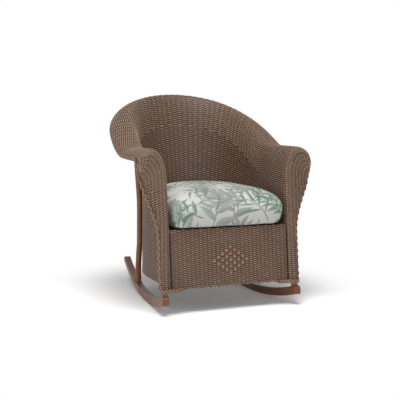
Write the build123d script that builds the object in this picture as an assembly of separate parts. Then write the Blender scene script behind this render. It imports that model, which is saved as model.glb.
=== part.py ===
"""Barrel-backed porch rocking chair with a loom-woven body on a bent and sawn wood frame.

All sizes are in millimetres. While the pieces are made, X runs across the chair, -Y is the front,
+Z is up and Z = 0 is the floor. The finished chair is moved so that the middle of its footprint is
the origin.

The woven body is one curved sheet. Its form is a function of two numbers:
    u  goes round the chair, from -1 at the front of the left arm, through 0 in the middle of
       the back, to +1 at the front of the right arm
    v  goes up the sheet, 0 at the hem, 1 where the roll begins, 2 on the crest of the roll and
       3 at the middle of the braid that ends it
In front of each arm the sheet wraps round the post. There s goes from 0 at the inner face of the
arm, round the nose, to 3 at the outer side, where the braid runs down.
"""
import math
import os

from build123d import *

# ---------------------------------------------------------------- driving dimensions
# stance
LEAN = 5.8                   # the whole front leans back by this angle, degrees
LEAN_PIVOT_Z = 250.0         # height at which the lean moves nothing
NOSE_Y = -312.0              # front of the arm noses at that height
CLEAR = 0.3                  # seat clearance between neighbouring pieces

# woven sheet
SHEET = 4.0                  # thickness of the woven sheet
INSIDE_HALF_WIDTH = 272.0    # inner face of each arm from the middle of the chair
BARREL_FRONT_Y = -22.0       # where the straight arms turn into the round back
BARREL_DEPTH = 352.0         # how far the round back goes behind that line
BARREL_POWER = 2.11          # 2 is an ellipse, more is squarer
HEM_Z = 108.0                # lower edge of the sheet
ARM_CREST_Z = 691.0          # top of the roll on the arms
BACK_CREST_Z = 926.0         # top of the roll in the middle of the back
RISE_START = 0.28            # share of the half rim that stays level along the arm
ARM_ROLL_RISE = 135.0        # height of the curve from the upright sheet to the crest
BACK_ROLL_RISE = 148.0
ARM_CREST_OUT = 62.0         # how far outside the inner face the crest lies: arm, turn, back
TURN_CREST_OUT = 38.0
BACK_CREST_OUT = 28.0
ARM_EDGE_OUT = 126.0         # the same for the rolled edge
TURN_EDGE_OUT = 132.0
BACK_EDGE_OUT = 109.0
ARM_EDGE_DROP = 43.0         # how far the rolled edge hangs below the crest
TURN_EDGE_DROP = 36.0
BACK_EDGE_DROP = 60.0
BACK_LOWER_LEAN = -2.4       # lean of the back below the seat, degrees
BACK_RECLINE = 10.6          # added lean of the back above the seat, degrees
RECLINE_Z = 430.0            # height at which the recline begins
RECLINE_EASE = 50.0          # it comes in over this height above and below

# nose in front of each arm
NOSE_RADIUS = 26.0           # inner corner of the nose
NOSE_OUTER_RADIUS = 13.0     # outer corner of the nose
NOSE_WIDTH = 46.0            # from the arm's inner face to the outer side of the nose, low down
NOSE_FLARE = 88.0            # the outer side swings out by this much
NOSE_FLARE_START_Z = 320.0
NOSE_FLARE_END_Z = 660.0
NOSE_SHOULDER_Z = 500.0      # height on the outer side that faces the start of the roll
NOSE_CREST_Z = 592.0         # the same for the crest
NOSE_TIP_Z = 620.0           # top of the outer side

# braids
BRAID_RADIUS = 7.0
HEM_BRAID_RADIUS = 6.0
BRAID_CORNER = 22.0          # the edge braid turns over the tip of the arm in this length
BRAID_TIP_DROP = 8.0         # and leaves the nose this far below its tip
BRAID_SIDES = 8              # a braid is lumpy, so a plain eight-sided rod stands for it
HEM_BRAID_REACH = 44.0       # the hem braid begins this far in from the end of the panel

# front panel
PANEL_SETBACK = 12.0         # the panel lies this far behind the noses
PANEL_SIDE_GAP = 2.0         # dark groove between the panel's end and the arm
PANEL_THICKNESS = 4.0
PANEL_TOP_Z = 355.0
PANEL_END_DROP = 7.0         # the ends of the hem hang lower than its middle
PANEL_DROP_START = 66.0      # from the end of the panel
PANEL_DROP_END = 44.0
DIAMOND_Z = 218.0            # middle of the raised diamond
DIAMOND_HALF_WIDTH = 93.5
DIAMOND_HALF_HEIGHT = 64.5
DIAMOND_PITCH = 18.7         # across, from one column of knots to the next
DIAMOND_RISE = 27.0          # up, from one knot to the next in a column
KNOT_WIDTH = 13.0
KNOT_HEIGHT = 9.0
KNOT_PROUD = 2.0

# frame
SEAT_RAIL_TOP_Z = 352.0
SEAT_RAIL_HEIGHT = 50.0
SEAT_RAIL_THICKNESS = 20.0
SEAT_HOOP_CLEAR = 0.5        # to the sheet
HEM_HOOP_RADIUS = 8.0
HEM_HOOP_Z = 122.0
HEM_HOOP_CLEAR = 0.6
HEM_RAIL_HEIGHT = 24.0
HEM_RAIL_RISE = 8.0          # bottom of the hem rail above the hem
HEM_RAIL_THICKNESS = 18.0
BATTEN_WIDTH = 18.0
BATTEN_THICKNESS = 12.0
POST_DEPTH = 24.0
FOOT_INSET = 3.5             # outer side of the visible foot inside the outer side of the nose
FOOT_WIDTH = 22.0
POST_SHOULDER_DROP = 1.0     # the wide post ends this far below the hem
POST_CLEAR = 0.5             # to the sheet that wraps round it
POST_TOP_Z = 440.0
FACING_THICKNESS = 22.0
FACING_SETBACK = 10.0        # arm facing behind the sheet that passes in front of it
FACING_INSET = 6.0           # arm facing inside the sheet that goes over it
FACING_SIDE_GAP = 1.6        # arm facing to the braid
RIM_HOOP_RADIUS = 11.0
RIM_HOOP_STATION = 2.1       # v, a little outside the crest
RIM_HOOP_CLEAR = 1.0         # to the sheet
REAR_LEG_RADIUS = 13.5
REAR_LEG_COLUMN = 7          # the rear leg stands at this column of the sheet, from the middle
REAR_LEG_COPE = 9.0          # its top is cut to the hoop and reaches this near the hoop's middle
REAR_FOOT_Y = 205.0
REAR_LEG_LIFT_Z = 235.0      # the leg lies along the sheet from this height up
REAR_LEG_BOW = 3.0           # it bows outwards by this much below that
CORNER_BLOCK_LEG = 60.0
CORNER_BLOCK_HEIGHT = 30.0
CORNER_BLOCK_RISE = 8.0      # above the bottom of the seat rails
FRONT_RAIL_DROP = 2.0        # the front rail's top lies this far below the seat hoop's

# webbing under the cushion
WEB_WIDTH = 44.0
WEB_THICKNESS = 1.8
WEB_PITCH = 84.0
WEB_MARGIN = 6.0             # straps end this far inside the sheet
WEB_FORWARD = 20.0           # the crosswise straps lie this far forward of even places

# rockers
ROCKER_RADIUS = 1190.0       # radius of the rolling edge
ROCKER_CONTACT_Y = 5.0       # where the chair stands on the floor
ROCKER_FRONT_Y = -338.0
ROCKER_REAR_Y = 478.0
ROCKER_OUTSET = 3.0          # outer face at the front end, outside the nose
ROCKER_TOE_IN = 5.8          # degrees
ROCKER_WIDTH = 31.0
ROCKER_FRONT_HEIGHT = 40.0
ROCKER_MIDDLE_HEIGHT = 34.0
ROCKER_REAR_HEIGHT = 25.0
ROCKER_NOSE_RADIUS = 14.0
ROCKER_EDGE_RADIUS = 2.5     # its long edges
FRONT_SEAT_DEPTH = 3.0       # flat seats for the legs, cut into the top of the rocker
REAR_SEAT_DEPTH = 4.0

# fasteners
BOLT_RADIUS = 3.5
BOLT_HEAD_RADIUS = 7.0
BOLT_HEAD_HEIGHT = 5.0
BOLT_RECESS = 4.0            # bolt heads lie this far above the rolling edge
BOLT_IN_LEG = 45.0
SCREW_RADIUS = 2.2
SCREW_HEAD_RADIUS = 4.5
SCREW_HEAD_HEIGHT = 2.5
SCREW_IN_LEG = 15.0
SCREW_EDGE = 2.0             # wood left in front of the front screws' heads
SCREW_SPACING = 26.0
DOWEL_RADIUS = 4.0
DOWEL_IN_HOOP = 24.0
DOWEL_END_WOOD = 4.0         # wood of the arm facing left in front of the dowel
HOLE_CLEAR = 0.1             # radial clearance round bolts, screws and dowels

# cushion
CUSHION_GAP = 5.0            # to the arms and the back
CUSHION_FRONT_Y = -320.0     # furthest point of its rounded front
CUSHION_CORNER_RADIUS = 48.0
CUSHION_WAIST = 75.0         # height of its widest line above its bottom
CUSHION_THICKNESS = 174.0    # in the middle of its crown

# ---------------------------------------------------------------- steps of the curved pieces
COLUMNS = 18                               # of the sheet, from the middle of the back to one arm
NOSE_STEPS = (3, 2.67, 2.33, 2, 1, 0.75, 0.5, 0.25)            # s of the columns of a nose
WALL_STEPS = (0.0, 0.2, 0.4, 0.5, 0.6, 0.7, 0.8, 0.9, 1.0)     # v on the upright part
ROLL_STEPS = (0.2, 0.4, 0.6, 0.8, 1.0)     # on each half of the roll

# ---------------------------------------------------------------- values worked out from them
NOSE_HALF_WIDTH = INSIDE_HALF_WIDTH + NOSE_WIDTH
PANEL_HALF_WIDTH = INSIDE_HALF_WIDTH - PANEL_SIDE_GAP
ROCKER_OUTER_X = NOSE_HALF_WIDTH + ROCKER_OUTSET
FOOT_INNER_X = NOSE_HALF_WIDTH - FOOT_INSET - FOOT_WIDTH
REAR_LEG_U = -REAR_LEG_COLUMN / COLUMNS
TAN_LEAN = math.tan(math.radians(LEAN))
COS_LEAN = math.cos(math.radians(LEAN))
ARM_END_Y = NOSE_Y + NOSE_RADIUS          # where the arms' inner faces begin to wrap
ARM_LENGTH = BARREL_FRONT_Y - ARM_END_Y
_H = ((INSIDE_HALF_WIDTH - BARREL_DEPTH) / (INSIDE_HALF_WIDTH + BARREL_DEPTH)) ** 2
QUARTER = (math.pi * (INSIDE_HALF_WIDTH + BARREL_DEPTH) / 4
           * (1 + 3 * _H / (10 + math.sqrt(4 - 3 * _H))))
ARM_SHARE = ARM_LENGTH / (ARM_LENGTH + QUARTER)
BEHIND_PANEL = PANEL_SETBACK + PANEL_THICKNESS + CLEAR
BRAID_SEAT = BRAID_RADIUS + CLEAR
COS_TOE = math.cos(math.radians(ROCKER_TOE_IN))
ROCKER_FRONT_RUN = (ROCKER_CONTACT_Y - ROCKER_FRONT_Y) / COS_TOE
ROCKER_REAR_RUN = (ROCKER_REAR_Y - ROCKER_CONTACT_Y) / COS_TOE


# ---------------------------------------------------------------- form of the woven sheet
def smooth(t):
    """Goes from 0 to 1 with no slope or bend at either end."""
    t = min(max(t, 0.0), 1.0)
    return t ** 3 * (t * (6 * t - 15) + 10)


def along_rim(w, arm, turn, back):
    """A size that changes from the arm (w = 0) through the turn (0.5) to the back (1)."""
    if w < 0.5:
        return arm + (turn - arm) * smooth(2 * w)
    return turn + (back - turn) * smooth(2 * w - 1)


def plan_point(u):
    """Inner face in plan: straight arms, then a superellipse. Also its outward direction and w."""
    side = -1.0 if u < 0 else 1.0
    w = 1.0 - abs(u)
    angle = math.pi / 2 * min(max((w - ARM_SHARE) / (1 - ARM_SHARE), 0.0), 1.0)
    c, s = max(math.cos(angle), 0.0), math.sin(angle)
    n = BARREL_POWER
    reach = ((c / INSIDE_HALF_WIDTH) ** n + (s / BARREL_DEPTH) ** n) ** (-1 / n)
    x, y = reach * c, reach * s
    out_x = x ** (n - 1) / INSIDE_HALF_WIDTH ** n
    out_y = y ** (n - 1) / BARREL_DEPTH ** n
    size = math.hypot(out_x, out_y)
    y = ARM_END_Y + ARM_LENGTH * w / ARM_SHARE if w < ARM_SHARE else BARREL_FRONT_Y + y
    return side * x, y, side * out_x / size, out_y / size, w


def crest_height(w):
    """Level along the arm, then half a wave up to the back."""
    t = min(max((w - RISE_START) / (1 - RISE_START), 0.0), 1.0)
    return ARM_CREST_Z + (BACK_CREST_Z - ARM_CREST_Z) * (0.5 - 0.5 * math.cos(math.pi * t))


def lean_shift(z, w):
    """How far back a point of the sheet lies for its height."""
    share = smooth(1.6 * w)
    angle = LEAN * (1 - share) + BACK_LOWER_LEAN * share
    return (z - LEAN_PIVOT_Z) * math.tan(math.radians(angle))


def recline(z, w):
    """Outward offset of the back above the seat, which comes in over a short height."""
    above = z - RECLINE_Z
    if above < -RECLINE_EASE:
        rise = 0.0
    elif above < RECLINE_EASE:
        rise = (above + RECLINE_EASE) ** 2 / (4 * RECLINE_EASE)
    else:
        rise = above
    return smooth(1.4 * w - 0.4) * math.tan(math.radians(BACK_RECLINE)) * rise


def tub_point(u, v):
    """A point of the sheet's inner and upper face, or at v = 3 of the line below its edge."""
    x, y, out_x, out_y, w = plan_point(u)
    crest = crest_height(w)
    rise = ARM_ROLL_RISE + (BACK_ROLL_RISE - ARM_ROLL_RISE) * smooth(w)
    crest_out = along_rim(w, ARM_CREST_OUT, TURN_CREST_OUT, BACK_CREST_OUT)
    edge_out = along_rim(w, ARM_EDGE_OUT, TURN_EDGE_OUT, BACK_EDGE_OUT)
    drop = along_rim(w, ARM_EDGE_DROP, TURN_EDGE_DROP, BACK_EDGE_DROP)
    if v <= 1:
        z, out = HEM_Z + (crest - rise - HEM_Z) * v, 0.0
    elif v <= 2:
        a = math.pi / 2 * (v - 1)
        z, out = crest - rise + rise * math.sin(a), crest_out * (1 - math.cos(a))
    else:
        a = math.pi / 2 * (v - 2)
        z = crest - drop + drop * math.cos(a)
        out = crest_out + (edge_out - crest_out) * math.sin(a)
    out += recline(z, w)
    return Vector(x + out * out_x, y + out * out_y + lean_shift(z, w), z)


def rim_strand(u):
    """Middle of the edge braid along the rim."""
    _, _, out_x, out_y, _ = plan_point(u)
    point = tub_point(u, 3)
    return Vector(point.X - out_x * SHEET / 2, point.Y - out_y * SHEET / 2, point.Z)


def end_of_sheet(u):
    """v at which the sheet stops, with its hidden edge just clear of the braid."""
    strand, low, high = rim_strand(u), 2.5, 3.0
    way = (rim_strand(u + 1e-3) - rim_strand(u - 1e-3)).normalized()
    for _ in range(24):
        v = (low + high) / 2
        corner = tub_point(u, v) + hidden_side(tub_point, u, v) * SHEET - strand
        if (corner - way * corner.dot(way)).length > BRAID_SEAT:
            low = v
        else:
            high = v
    return low


def nose_side_x(z):
    """Outer side of the nose: upright low down, swinging out to the tip of the arm."""
    t = (z - NOSE_FLARE_START_Z) / (NOSE_FLARE_END_Z - NOSE_FLARE_START_Z)
    t = min(max(t, 0.0), 1.0)
    return NOSE_HALF_WIDTH + NOSE_FLARE * (0.5 - 0.5 * math.cos(math.pi * t))


def nose_side_z(v):
    """Height on the outer side that the weft of station v runs to."""
    if v <= 1:
        return HEM_Z + (NOSE_SHOULDER_Z - HEM_Z) * v
    if v <= 2:
        return NOSE_SHOULDER_Z + (NOSE_CREST_Z - NOSE_SHOULDER_Z) * (v - 1)
    return NOSE_CREST_Z + (NOSE_TIP_Z - NOSE_CREST_Z) * (v - 2)


def nose_point(side, v, s):
    """A point of the sheet where it wraps round the front of an arm; side is -1 or 1."""
    inner = tub_point(side, v)
    outer_z = nose_side_z(v)
    across = Vector(side * nose_side_x(outer_z) - inner.X, 0, outer_z - inner.Z)
    width = across.length
    across = across.normalized()
    tip = smooth((v - 2.2) / (end_of_sheet(side) - 2.2))
    first = min(NOSE_RADIUS, 0.62 * width)
    last = min(NOSE_OUTER_RADIUS, 0.3 * width) * (1 - 0.35 * tip)
    forward = NOSE_RADIUS - NOSE_OUTER_RADIUS + last
    if s <= 1:
        a = math.pi / 2 * s
        reach, ahead = first * (1 - math.cos(a)), forward * math.sin(a)
    elif s <= 2:
        reach, ahead = first + (s - 1) * (width - first - last), forward
    else:
        a = math.pi / 2 * (s - 2)
        reach, ahead = width - last + last * math.sin(a), forward - last * (1 - math.cos(a))
    point = inner + across * reach
    return point + Vector(0, (point.Z - inner.Z) * TAN_LEAN - ahead, 0)


def hidden_side(point_at, a, b):
    """Unit vector from the good face of the sheet to its hidden face, at parameters a and b."""
    h = 1e-3
    along = point_at(a + h, b) - point_at(a - h, b)
    up = point_at(a, b + h) - point_at(a, b - h)
    return up.cross(along).normalized()


# ---------------------------------------------------------------- small helpers
def tilted(shape):
    """Leans a piece that was drawn upright, with Y = 0 on the noses and Z = 0 at the pivot height."""
    return Pos(0, NOSE_Y, LEAN_PIVOT_Z) * Rot(X=-LEAN) * shape


def lean_z(z):
    """Height before the tilt of a point on the noses that ends up at height z."""
    return (z - LEAN_PIVOT_Z) / COS_LEAN


def slab(x0, x1, y0, y1, z0, z1):
    """A plain rectangular piece between six planes."""
    return Pos((x0 + x1) / 2, (y0 + y1) / 2, (z0 + z1) / 2) * Box(x1 - x0, y1 - y0, z1 - z0)


def rod(radius, points, sides=None):
    """A round rod through points, bent a little at each of them. It may be given flat sides."""
    points = [Vector(point) for point in points]
    steps = [(b - a).normalized() for a, b in zip(points, points[1:])]
    ways = steps[:1] + [(a + b).normalized() for a, b in zip(steps, steps[1:])] + steps[-1:]
    across = Vector(0, 0, 1) if abs(steps[0].Z) < 0.9 else Vector(1, 0, 0)
    rings = []
    for point, way in zip(points, ways):
        across = (across - way * across.dot(way)).normalized()
        ring = RegularPolygon(radius, sides) if sides else Circle(radius)
        rings.append((Plane(point, x_dir=across, z_dir=way) * ring).wire())
    return Solid.make_loft(rings, ruled=True)


def pin(start, direction, length, radius):
    """A cylinder from start along direction."""
    plane = Plane(start, z_dir=direction)
    return plane * Pos(0, 0, length / 2) * Cylinder(radius, length)


def other_side(shape):
    """The same piece for the right side of the chair, made from the left one."""
    return mirror(shape, about=Plane.YZ)


def plan_outline(inset, z):
    """Points of the tub's inner face at height z, moved inwards by inset, from left to right."""
    points = []
    for i in range(-COLUMNS, COLUMNS + 1):
        u = i / COLUMNS
        x, y, out_x, out_y, w = plan_point(u)
        out = recline(z, w) - inset
        points.append((x + out * out_x, y + out * out_y + lean_shift(z, w)))
    return points


# ---------------------------------------------------------------- woven pieces
def sheet_levels(u):
    """The stations of v from the hem to the end of the sheet."""
    end = end_of_sheet(u) - 2
    return ([v for v in WALL_STEPS] + [1 + v for v in ROLL_STEPS] + [2 + end * v for v in ROLL_STEPS])


def polyline(points):
    """A wire of straight lines through points."""
    return Wire([Line(a, b) for a, b in zip(points, points[1:])])


def make_woven_body():
    """One sheet from braid to braid: good face, hidden face and the narrow faces between them."""
    def column(point_at, a, u):
        good = [point_at(a, v) for v in sheet_levels(u)]
        hidden = [point_at(a, v) + hidden_side(point_at, a, v) * SHEET for v in sheet_levels(u)]
        return good, hidden

    def nose_at(side):
        # s runs outwards on the right and inwards on the left, so that both follow u
        return lambda a, v: nose_point(side, v, a * side)

    columns = [column(nose_at(-1), -s, -1) for s in NOSE_STEPS]
    columns += [column(tub_point, i / COLUMNS, i / COLUMNS) for i in range(-COLUMNS, COLUMNS + 1)]
    columns += [column(nose_at(1), s, 1) for s in reversed(NOSE_STEPS)]
    faces, hems, edges = [], [], []
    for face in (0, 1):
        shell = Shell.make_loft([polyline(c[face]) for c in columns], ruled=True)
        faces += shell.faces()
        hems.append(border_edges(shell, [c[face][0] for c in columns]))
        edges.append(border_edges(shell, [c[face][-1] for c in columns]))
    for pair in (hems, edges):
        faces += [Face.make_surface_from_curves(a, b) for a, b in zip(*pair)]
    for end in (columns[0], columns[-1]):
        faces += Shell.make_loft([polyline(end[0]), polyline(end[1])], ruled=True).faces()
    return Solid(Shell(faces))


def border_edges(shell, points):
    """The edges of a shell that run along a row of border points, in order."""
    found = []
    for edge in shell.edges():
        ends = [nearest(points, edge @ 0), nearest(points, edge @ 1)]
        if None not in ends and ends[0] != ends[1]:
            found.append((min(ends), edge))
    return [edge for _, edge in sorted(found, key=lambda item: item[0])]


def nearest(points, place, reach=0.01):
    """Index of the point that lies at a place, or None."""
    for i, point in enumerate(points):
        if (point - place).length < reach:
            return i
    return None


def make_edge_braid():
    """The braid from the foot of the left nose, round the whole rim, to the foot of the right one."""
    first = 1 - BRAID_CORNER / ARM_LENGTH * ARM_SHARE
    last_z = NOSE_TIP_Z - BRAID_TIP_DROP
    heights = [nose_side_z(v) for v in sheet_levels(-1)]
    half = []
    for z in [z for z in heights if z < last_z - BRAID_TIP_DROP / 2] + [last_z]:
        y = NOSE_Y + (z - LEAN_PIVOT_Z) * TAN_LEAN + NOSE_OUTER_RADIUS + BRAID_SEAT
        half.append(Vector(-(nose_side_x(z) - SHEET / 2), y, z))
    half += [rim_strand(-first)] + [rim_strand(-i / COLUMNS) for i in range(COLUMNS - 1, 0, -1)]
    path = half + [rim_strand(0)] + [Vector(-p.X, p.Y, p.Z) for p in half[::-1]]
    return rod(BRAID_RADIUS, path, BRAID_SIDES)


def make_hem_braid():
    """Short braid along the end of the panel's hem and round the foot of the left nose."""
    r = HEM_BRAID_RADIUS
    z = HEM_Z
    lean = (z - LEAN_PIVOT_Z) * TAN_LEAN
    panel = NOSE_Y + PANEL_SETBACK / COS_LEAN + lean - r - CLEAR
    nose = NOSE_Y + lean - r - 2 * CLEAR
    side = NOSE_HALF_WIDTH + r + CLEAR
    points = [(-PANEL_HALF_WIDTH + HEM_BRAID_REACH, panel, z),
              (-PANEL_HALF_WIDTH + HEM_BRAID_REACH / 2, panel - 1, z),
              (-PANEL_HALF_WIDTH - 8, nose - 1, z),
              (-NOSE_HALF_WIDTH + NOSE_OUTER_RADIUS - 4, nose, z),
              (-side + 1, nose + r + 4, z),
              (-side, nose + NOSE_OUTER_RADIUS + r, z)]
    return rod(r, points, BRAID_SIDES)


def make_front_panel():
    """Flat woven panel with low ends to its hem and a raised diamond of knots."""
    top, hem = lean_z(PANEL_TOP_Z), lean_z(HEM_Z)
    low = hem - PANEL_END_DROP
    w = PANEL_HALF_WIDTH
    a, b = w - PANEL_DROP_END, w - PANEL_DROP_START
    bottom = [Line((-w, low), (-a, low)), Spline((-a, low), (-b, hem), tangents=[(1, 0), (1, 0)]),
              Line((-b, hem), (b, hem)), Spline((b, hem), (a, low), tangents=[(1, 0), (1, 0)]),
              Line((a, low), (w, low))]
    outline = Wire(bottom + [Line((w, low), (w, top)), Line((w, top), (-w, top)),
                             Line((-w, top), (-w, low))])
    front = Plane((0, PANEL_SETBACK, 0), x_dir=(1, 0, 0), z_dir=(0, -1, 0))
    panel = front * extrude(Face(outline), PANEL_THICKNESS, dir=(0, 0, -1))
    knots = []
    columns = int(DIAMOND_HALF_WIDTH / DIAMOND_PITCH)
    rows = int(DIAMOND_HALF_HEIGHT / DIAMOND_RISE) + 1
    for column in range(-columns, columns + 1):
        for row in range(-rows, rows + 1):
            x = column * DIAMOND_PITCH
            z = (row + 0.5 * (column % 2)) * DIAMOND_RISE
            if abs(x) / DIAMOND_HALF_WIDTH + abs(z) / DIAMOND_HALF_HEIGHT < 1.04:
                place = front * Pos(x, lean_z(DIAMOND_Z) + z, KNOT_PROUD / 2)
                knots.append(place * Box(KNOT_WIDTH, KNOT_HEIGHT, KNOT_PROUD))
    return tilted(panel + knots)


# ---------------------------------------------------------------- wood frame
def make_rocker():
    """Left rocker: an arc below, a flatter one on top, thinner towards the rear."""
    front, middle, rear, top_front, top_rear = rocker_corners()
    top_middle = (0, ROCKER_MIDDLE_HEIGHT)
    outline = Wire([ThreePointArc(front, middle, rear), Line(rear, top_rear),
                    ThreePointArc(top_rear, top_middle, top_front), Line(top_front, front)])
    side = Plane((0, 0, 0), x_dir=(0, 1, 0), z_dir=(1, 0, 0))
    body = side * extrude(Face(outline), ROCKER_WIDTH, dir=(0, 0, 1))
    body = Pos(0, ROCKER_FRONT_RUN, 0) * body
    top_front = body.edges().filter_by(Axis.X).sort_by(Axis.Y)[:2].sort_by(Axis.Z)[-1]
    body = fillet(top_front, ROCKER_NOSE_RADIUS)
    long_edges = [edge for edge in body.edges() if edge.length > ROCKER_FRONT_RUN]
    body = fillet(long_edges, ROCKER_EDGE_RADIUS)
    return Pos(-ROCKER_OUTER_X, ROCKER_FRONT_Y, 0) * Rot(Z=-ROCKER_TOE_IN) * body


def rocker_corners():
    """Side view of a rocker, with 0, 0 at the floor contact: two ends below, the contact, two above."""
    front = (-ROCKER_FRONT_RUN, arc_height(-ROCKER_FRONT_RUN))
    rear = (ROCKER_REAR_RUN, arc_height(ROCKER_REAR_RUN))
    slope = ROCKER_REAR_RUN / ROCKER_RADIUS
    top_front = (front[0], front[1] + ROCKER_FRONT_HEIGHT)
    top_rear = (rear[0] - ROCKER_REAR_HEIGHT * math.sin(slope),
                rear[1] + ROCKER_REAR_HEIGHT * math.cos(slope))
    return front, (0, 0), rear, top_front, top_rear


def arc_height(run):
    """Height of the rolling edge at a distance along the rocker from the floor contact."""
    return ROCKER_RADIUS - math.sqrt(ROCKER_RADIUS ** 2 - run ** 2)


def rocker_top_z(y):
    """Height of a rocker's top at y, on the circle through its two ends and its middle."""
    _, _, _, (ay, az), (by, bz) = rocker_corners()
    az, bz = az - ROCKER_MIDDLE_HEIGHT, bz - ROCKER_MIDDLE_HEIGHT
    cy = ((ay ** 2 + az ** 2) * bz - (by ** 2 + bz ** 2) * az) / (2 * (ay * bz - by * az))
    cz = ((ay ** 2 + az ** 2) - 2 * ay * cy) / (2 * az)
    run = (y - ROCKER_CONTACT_Y) / COS_TOE
    return ROCKER_MIDDLE_HEIGHT + cz - math.sqrt(cy ** 2 + cz ** 2 - (run - cy) ** 2)


def rocker_middle_x(y):
    """Distance of a rocker's middle line from the middle of the chair."""
    return (ROCKER_OUTER_X - ROCKER_WIDTH / 2 / COS_TOE
            - (y - ROCKER_FRONT_Y) * math.tan(math.radians(ROCKER_TOE_IN)))


def front_post_y():
    """Middle of the front leg before the tilt, just behind the sheet of the nose."""
    return SHEET + POST_CLEAR + POST_DEPTH / 2


def front_seat():
    """Where the middle of the front leg's foot stands on the rocker, in the chair's frame."""
    z = ROCKER_FRONT_HEIGHT
    for _ in range(8):
        y = NOSE_Y + front_post_y() / COS_LEAN + (z - LEAN_PIVOT_Z) * TAN_LEAN
        z = rocker_top_z(y) - FRONT_SEAT_DEPTH
    return Vector(-(FOOT_INNER_X + FOOT_WIDTH / 2), y, z)


def front_seat_z():
    """Height of the middle of the front seat before the tilt."""
    return lean_z(front_seat().Z) + front_post_y() * TAN_LEAN


def make_front_leg():
    """Left front leg: a post that fills the nose, with a narrower foot below the hem."""
    inner = -(INSIDE_HALF_WIDTH + SHEET + POST_CLEAR)
    outer = -(NOSE_HALF_WIDTH - SHEET / 2 - BRAID_SEAT)
    width, y = inner - outer, front_post_y()
    bottom, top = lean_z(HEM_Z) - POST_SHOULDER_DROP, lean_z(POST_TOP_Z)
    post = slab(outer, inner, y - POST_DEPTH / 2, y + POST_DEPTH / 2, bottom, top)
    front_edges = post.edges().filter_by(Axis.Z).group_by(Axis.Y)[0].sort_by(Axis.X)
    post = fillet(front_edges[0], min(NOSE_OUTER_RADIUS - SHEET, 0.28 * width))
    front_edges = post.edges().filter_by(Axis.Z).group_by(Axis.Y)[0].sort_by(Axis.X)
    post = fillet(front_edges[-1], min(NOSE_RADIUS - SHEET, 0.69 * width))
    low = front_seat_z()
    foot = slab(-FOOT_INNER_X - FOOT_WIDTH, -FOOT_INNER_X, y - POST_DEPTH / 2, y + POST_DEPTH / 2,
                low, bottom)
    foot = fillet(foot.edges().filter_by(Axis.Z), 2.0)
    return tilted(post + foot)


def facing_outline():
    """Outline of the left arm facing in the front view, inside the roll and the nose's side."""
    def inset_point(v):
        here, after = tub_point(-1, v), tub_point(-1, v + 1e-3)
        step = (after - here).normalized()
        good = Vector(step.Z, 0, -step.X)          # square to the good face, away from the sheet
        return here - good * (SHEET + FACING_INSET)

    inner = [inset_point(v) for v in (1.15, 1.4, 1.6, 1.8, 2.0, 2.3)]
    levels = [nose_side_z(v) for v in sheet_levels(-1)]
    heights = [POST_TOP_Z] + [z for z in levels if POST_TOP_Z + 5 < z <= NOSE_CREST_Z]
    side = SHEET / 2 + BRAID_SEAT + FACING_SIDE_GAP
    outer = [Vector(-(nose_side_x(z) - side), 0, z) for z in heights]
    return [(p.X, lean_z(p.Z)) for p in inner], [(p.X, lean_z(p.Z)) for p in outer]


def facing_planes():
    """Front and rear planes of the arm facing before the tilt."""
    front = SHEET + FACING_SETBACK
    return front, front + FACING_THICKNESS


def make_arm_facing():
    """Left arm facing: the sawn board on top of the leg that carries the flared nose and the roll."""
    inner, outer = facing_outline()
    low_inner = (-(INSIDE_HALF_WIDTH + SHEET + FACING_INSET), lean_z(POST_TOP_Z))
    side = [inner[-1], *outer[::-1], low_inner, inner[0]]
    outline = Wire([Spline(*inner)] + [Line(a, b) for a, b in zip(side, side[1:])])
    front, rear = facing_planes()
    plane = Plane((0, front, 0), x_dir=(1, 0, 0), z_dir=(0, -1, 0))
    board = plane * extrude(Face(outline), rear - front, dir=(0, 0, -1))
    return tilted(board)


def rim_hoop_point(u):
    """Middle of the bent rim hoop, which lies right under the roll."""
    v = RIM_HOOP_STATION
    return tub_point(u, v) + hidden_side(tub_point, u, v) * (SHEET + RIM_HOOP_CLEAR + RIM_HOOP_RADIUS)


def rim_hoop_start():
    """Station at which the rim hoop butts against the rear of the arm facing."""
    rear = facing_planes()[1]
    crest = tub_point(-1, 2)
    face_y = NOSE_Y + rear / COS_LEAN + (crest.Z - SHEET - LEAN_PIVOT_Z) * TAN_LEAN
    return 1 - (face_y + CLEAR - crest.Y) / ARM_LENGTH * ARM_SHARE


def make_rim_hoop():
    """Bent rod under the crest of the roll, from one arm facing to the other."""
    start = rim_hoop_start()
    inside = [i / COLUMNS for i in range(1 - COLUMNS, COLUMNS) if abs(i / COLUMNS) < start - 0.01]
    return rod(RIM_HOOP_RADIUS, [rim_hoop_point(u) for u in [-start] + inside + [start]])


def rear_leg_points():
    """Middle line of the left rear leg: foot, then along the outside of the sheet, to the hoop."""
    u = REAR_LEG_U
    stand_off = SHEET + CLEAR + REAR_LEG_RADIUS
    wall = tub_point(u, 1).Z - HEM_Z

    def beside(v):
        return tub_point(u, v) + hidden_side(tub_point, u, v) * stand_off

    foot = Vector(-rocker_middle_x(REAR_FOOT_Y), REAR_FOOT_Y,
                  rocker_top_z(REAR_FOOT_Y) - REAR_SEAT_DEPTH)
    lift = (REAR_LEG_LIFT_Z - HEM_Z) / wall
    rise, bow = beside(lift) - foot, Vector(REAR_LEG_BOW, 0, 0)
    path = [foot, foot + rise * 0.4 - bow, foot + rise * 0.75 - bow * 0.67]
    path += [beside(lift)] + [beside(v) for v in WALL_STEPS if v > lift + 0.05] + [beside(1.2)]
    hoop = rim_hoop_point(u)
    return path + [hoop - (hoop - path[-1]).normalized() * REAR_LEG_COPE]


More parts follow.
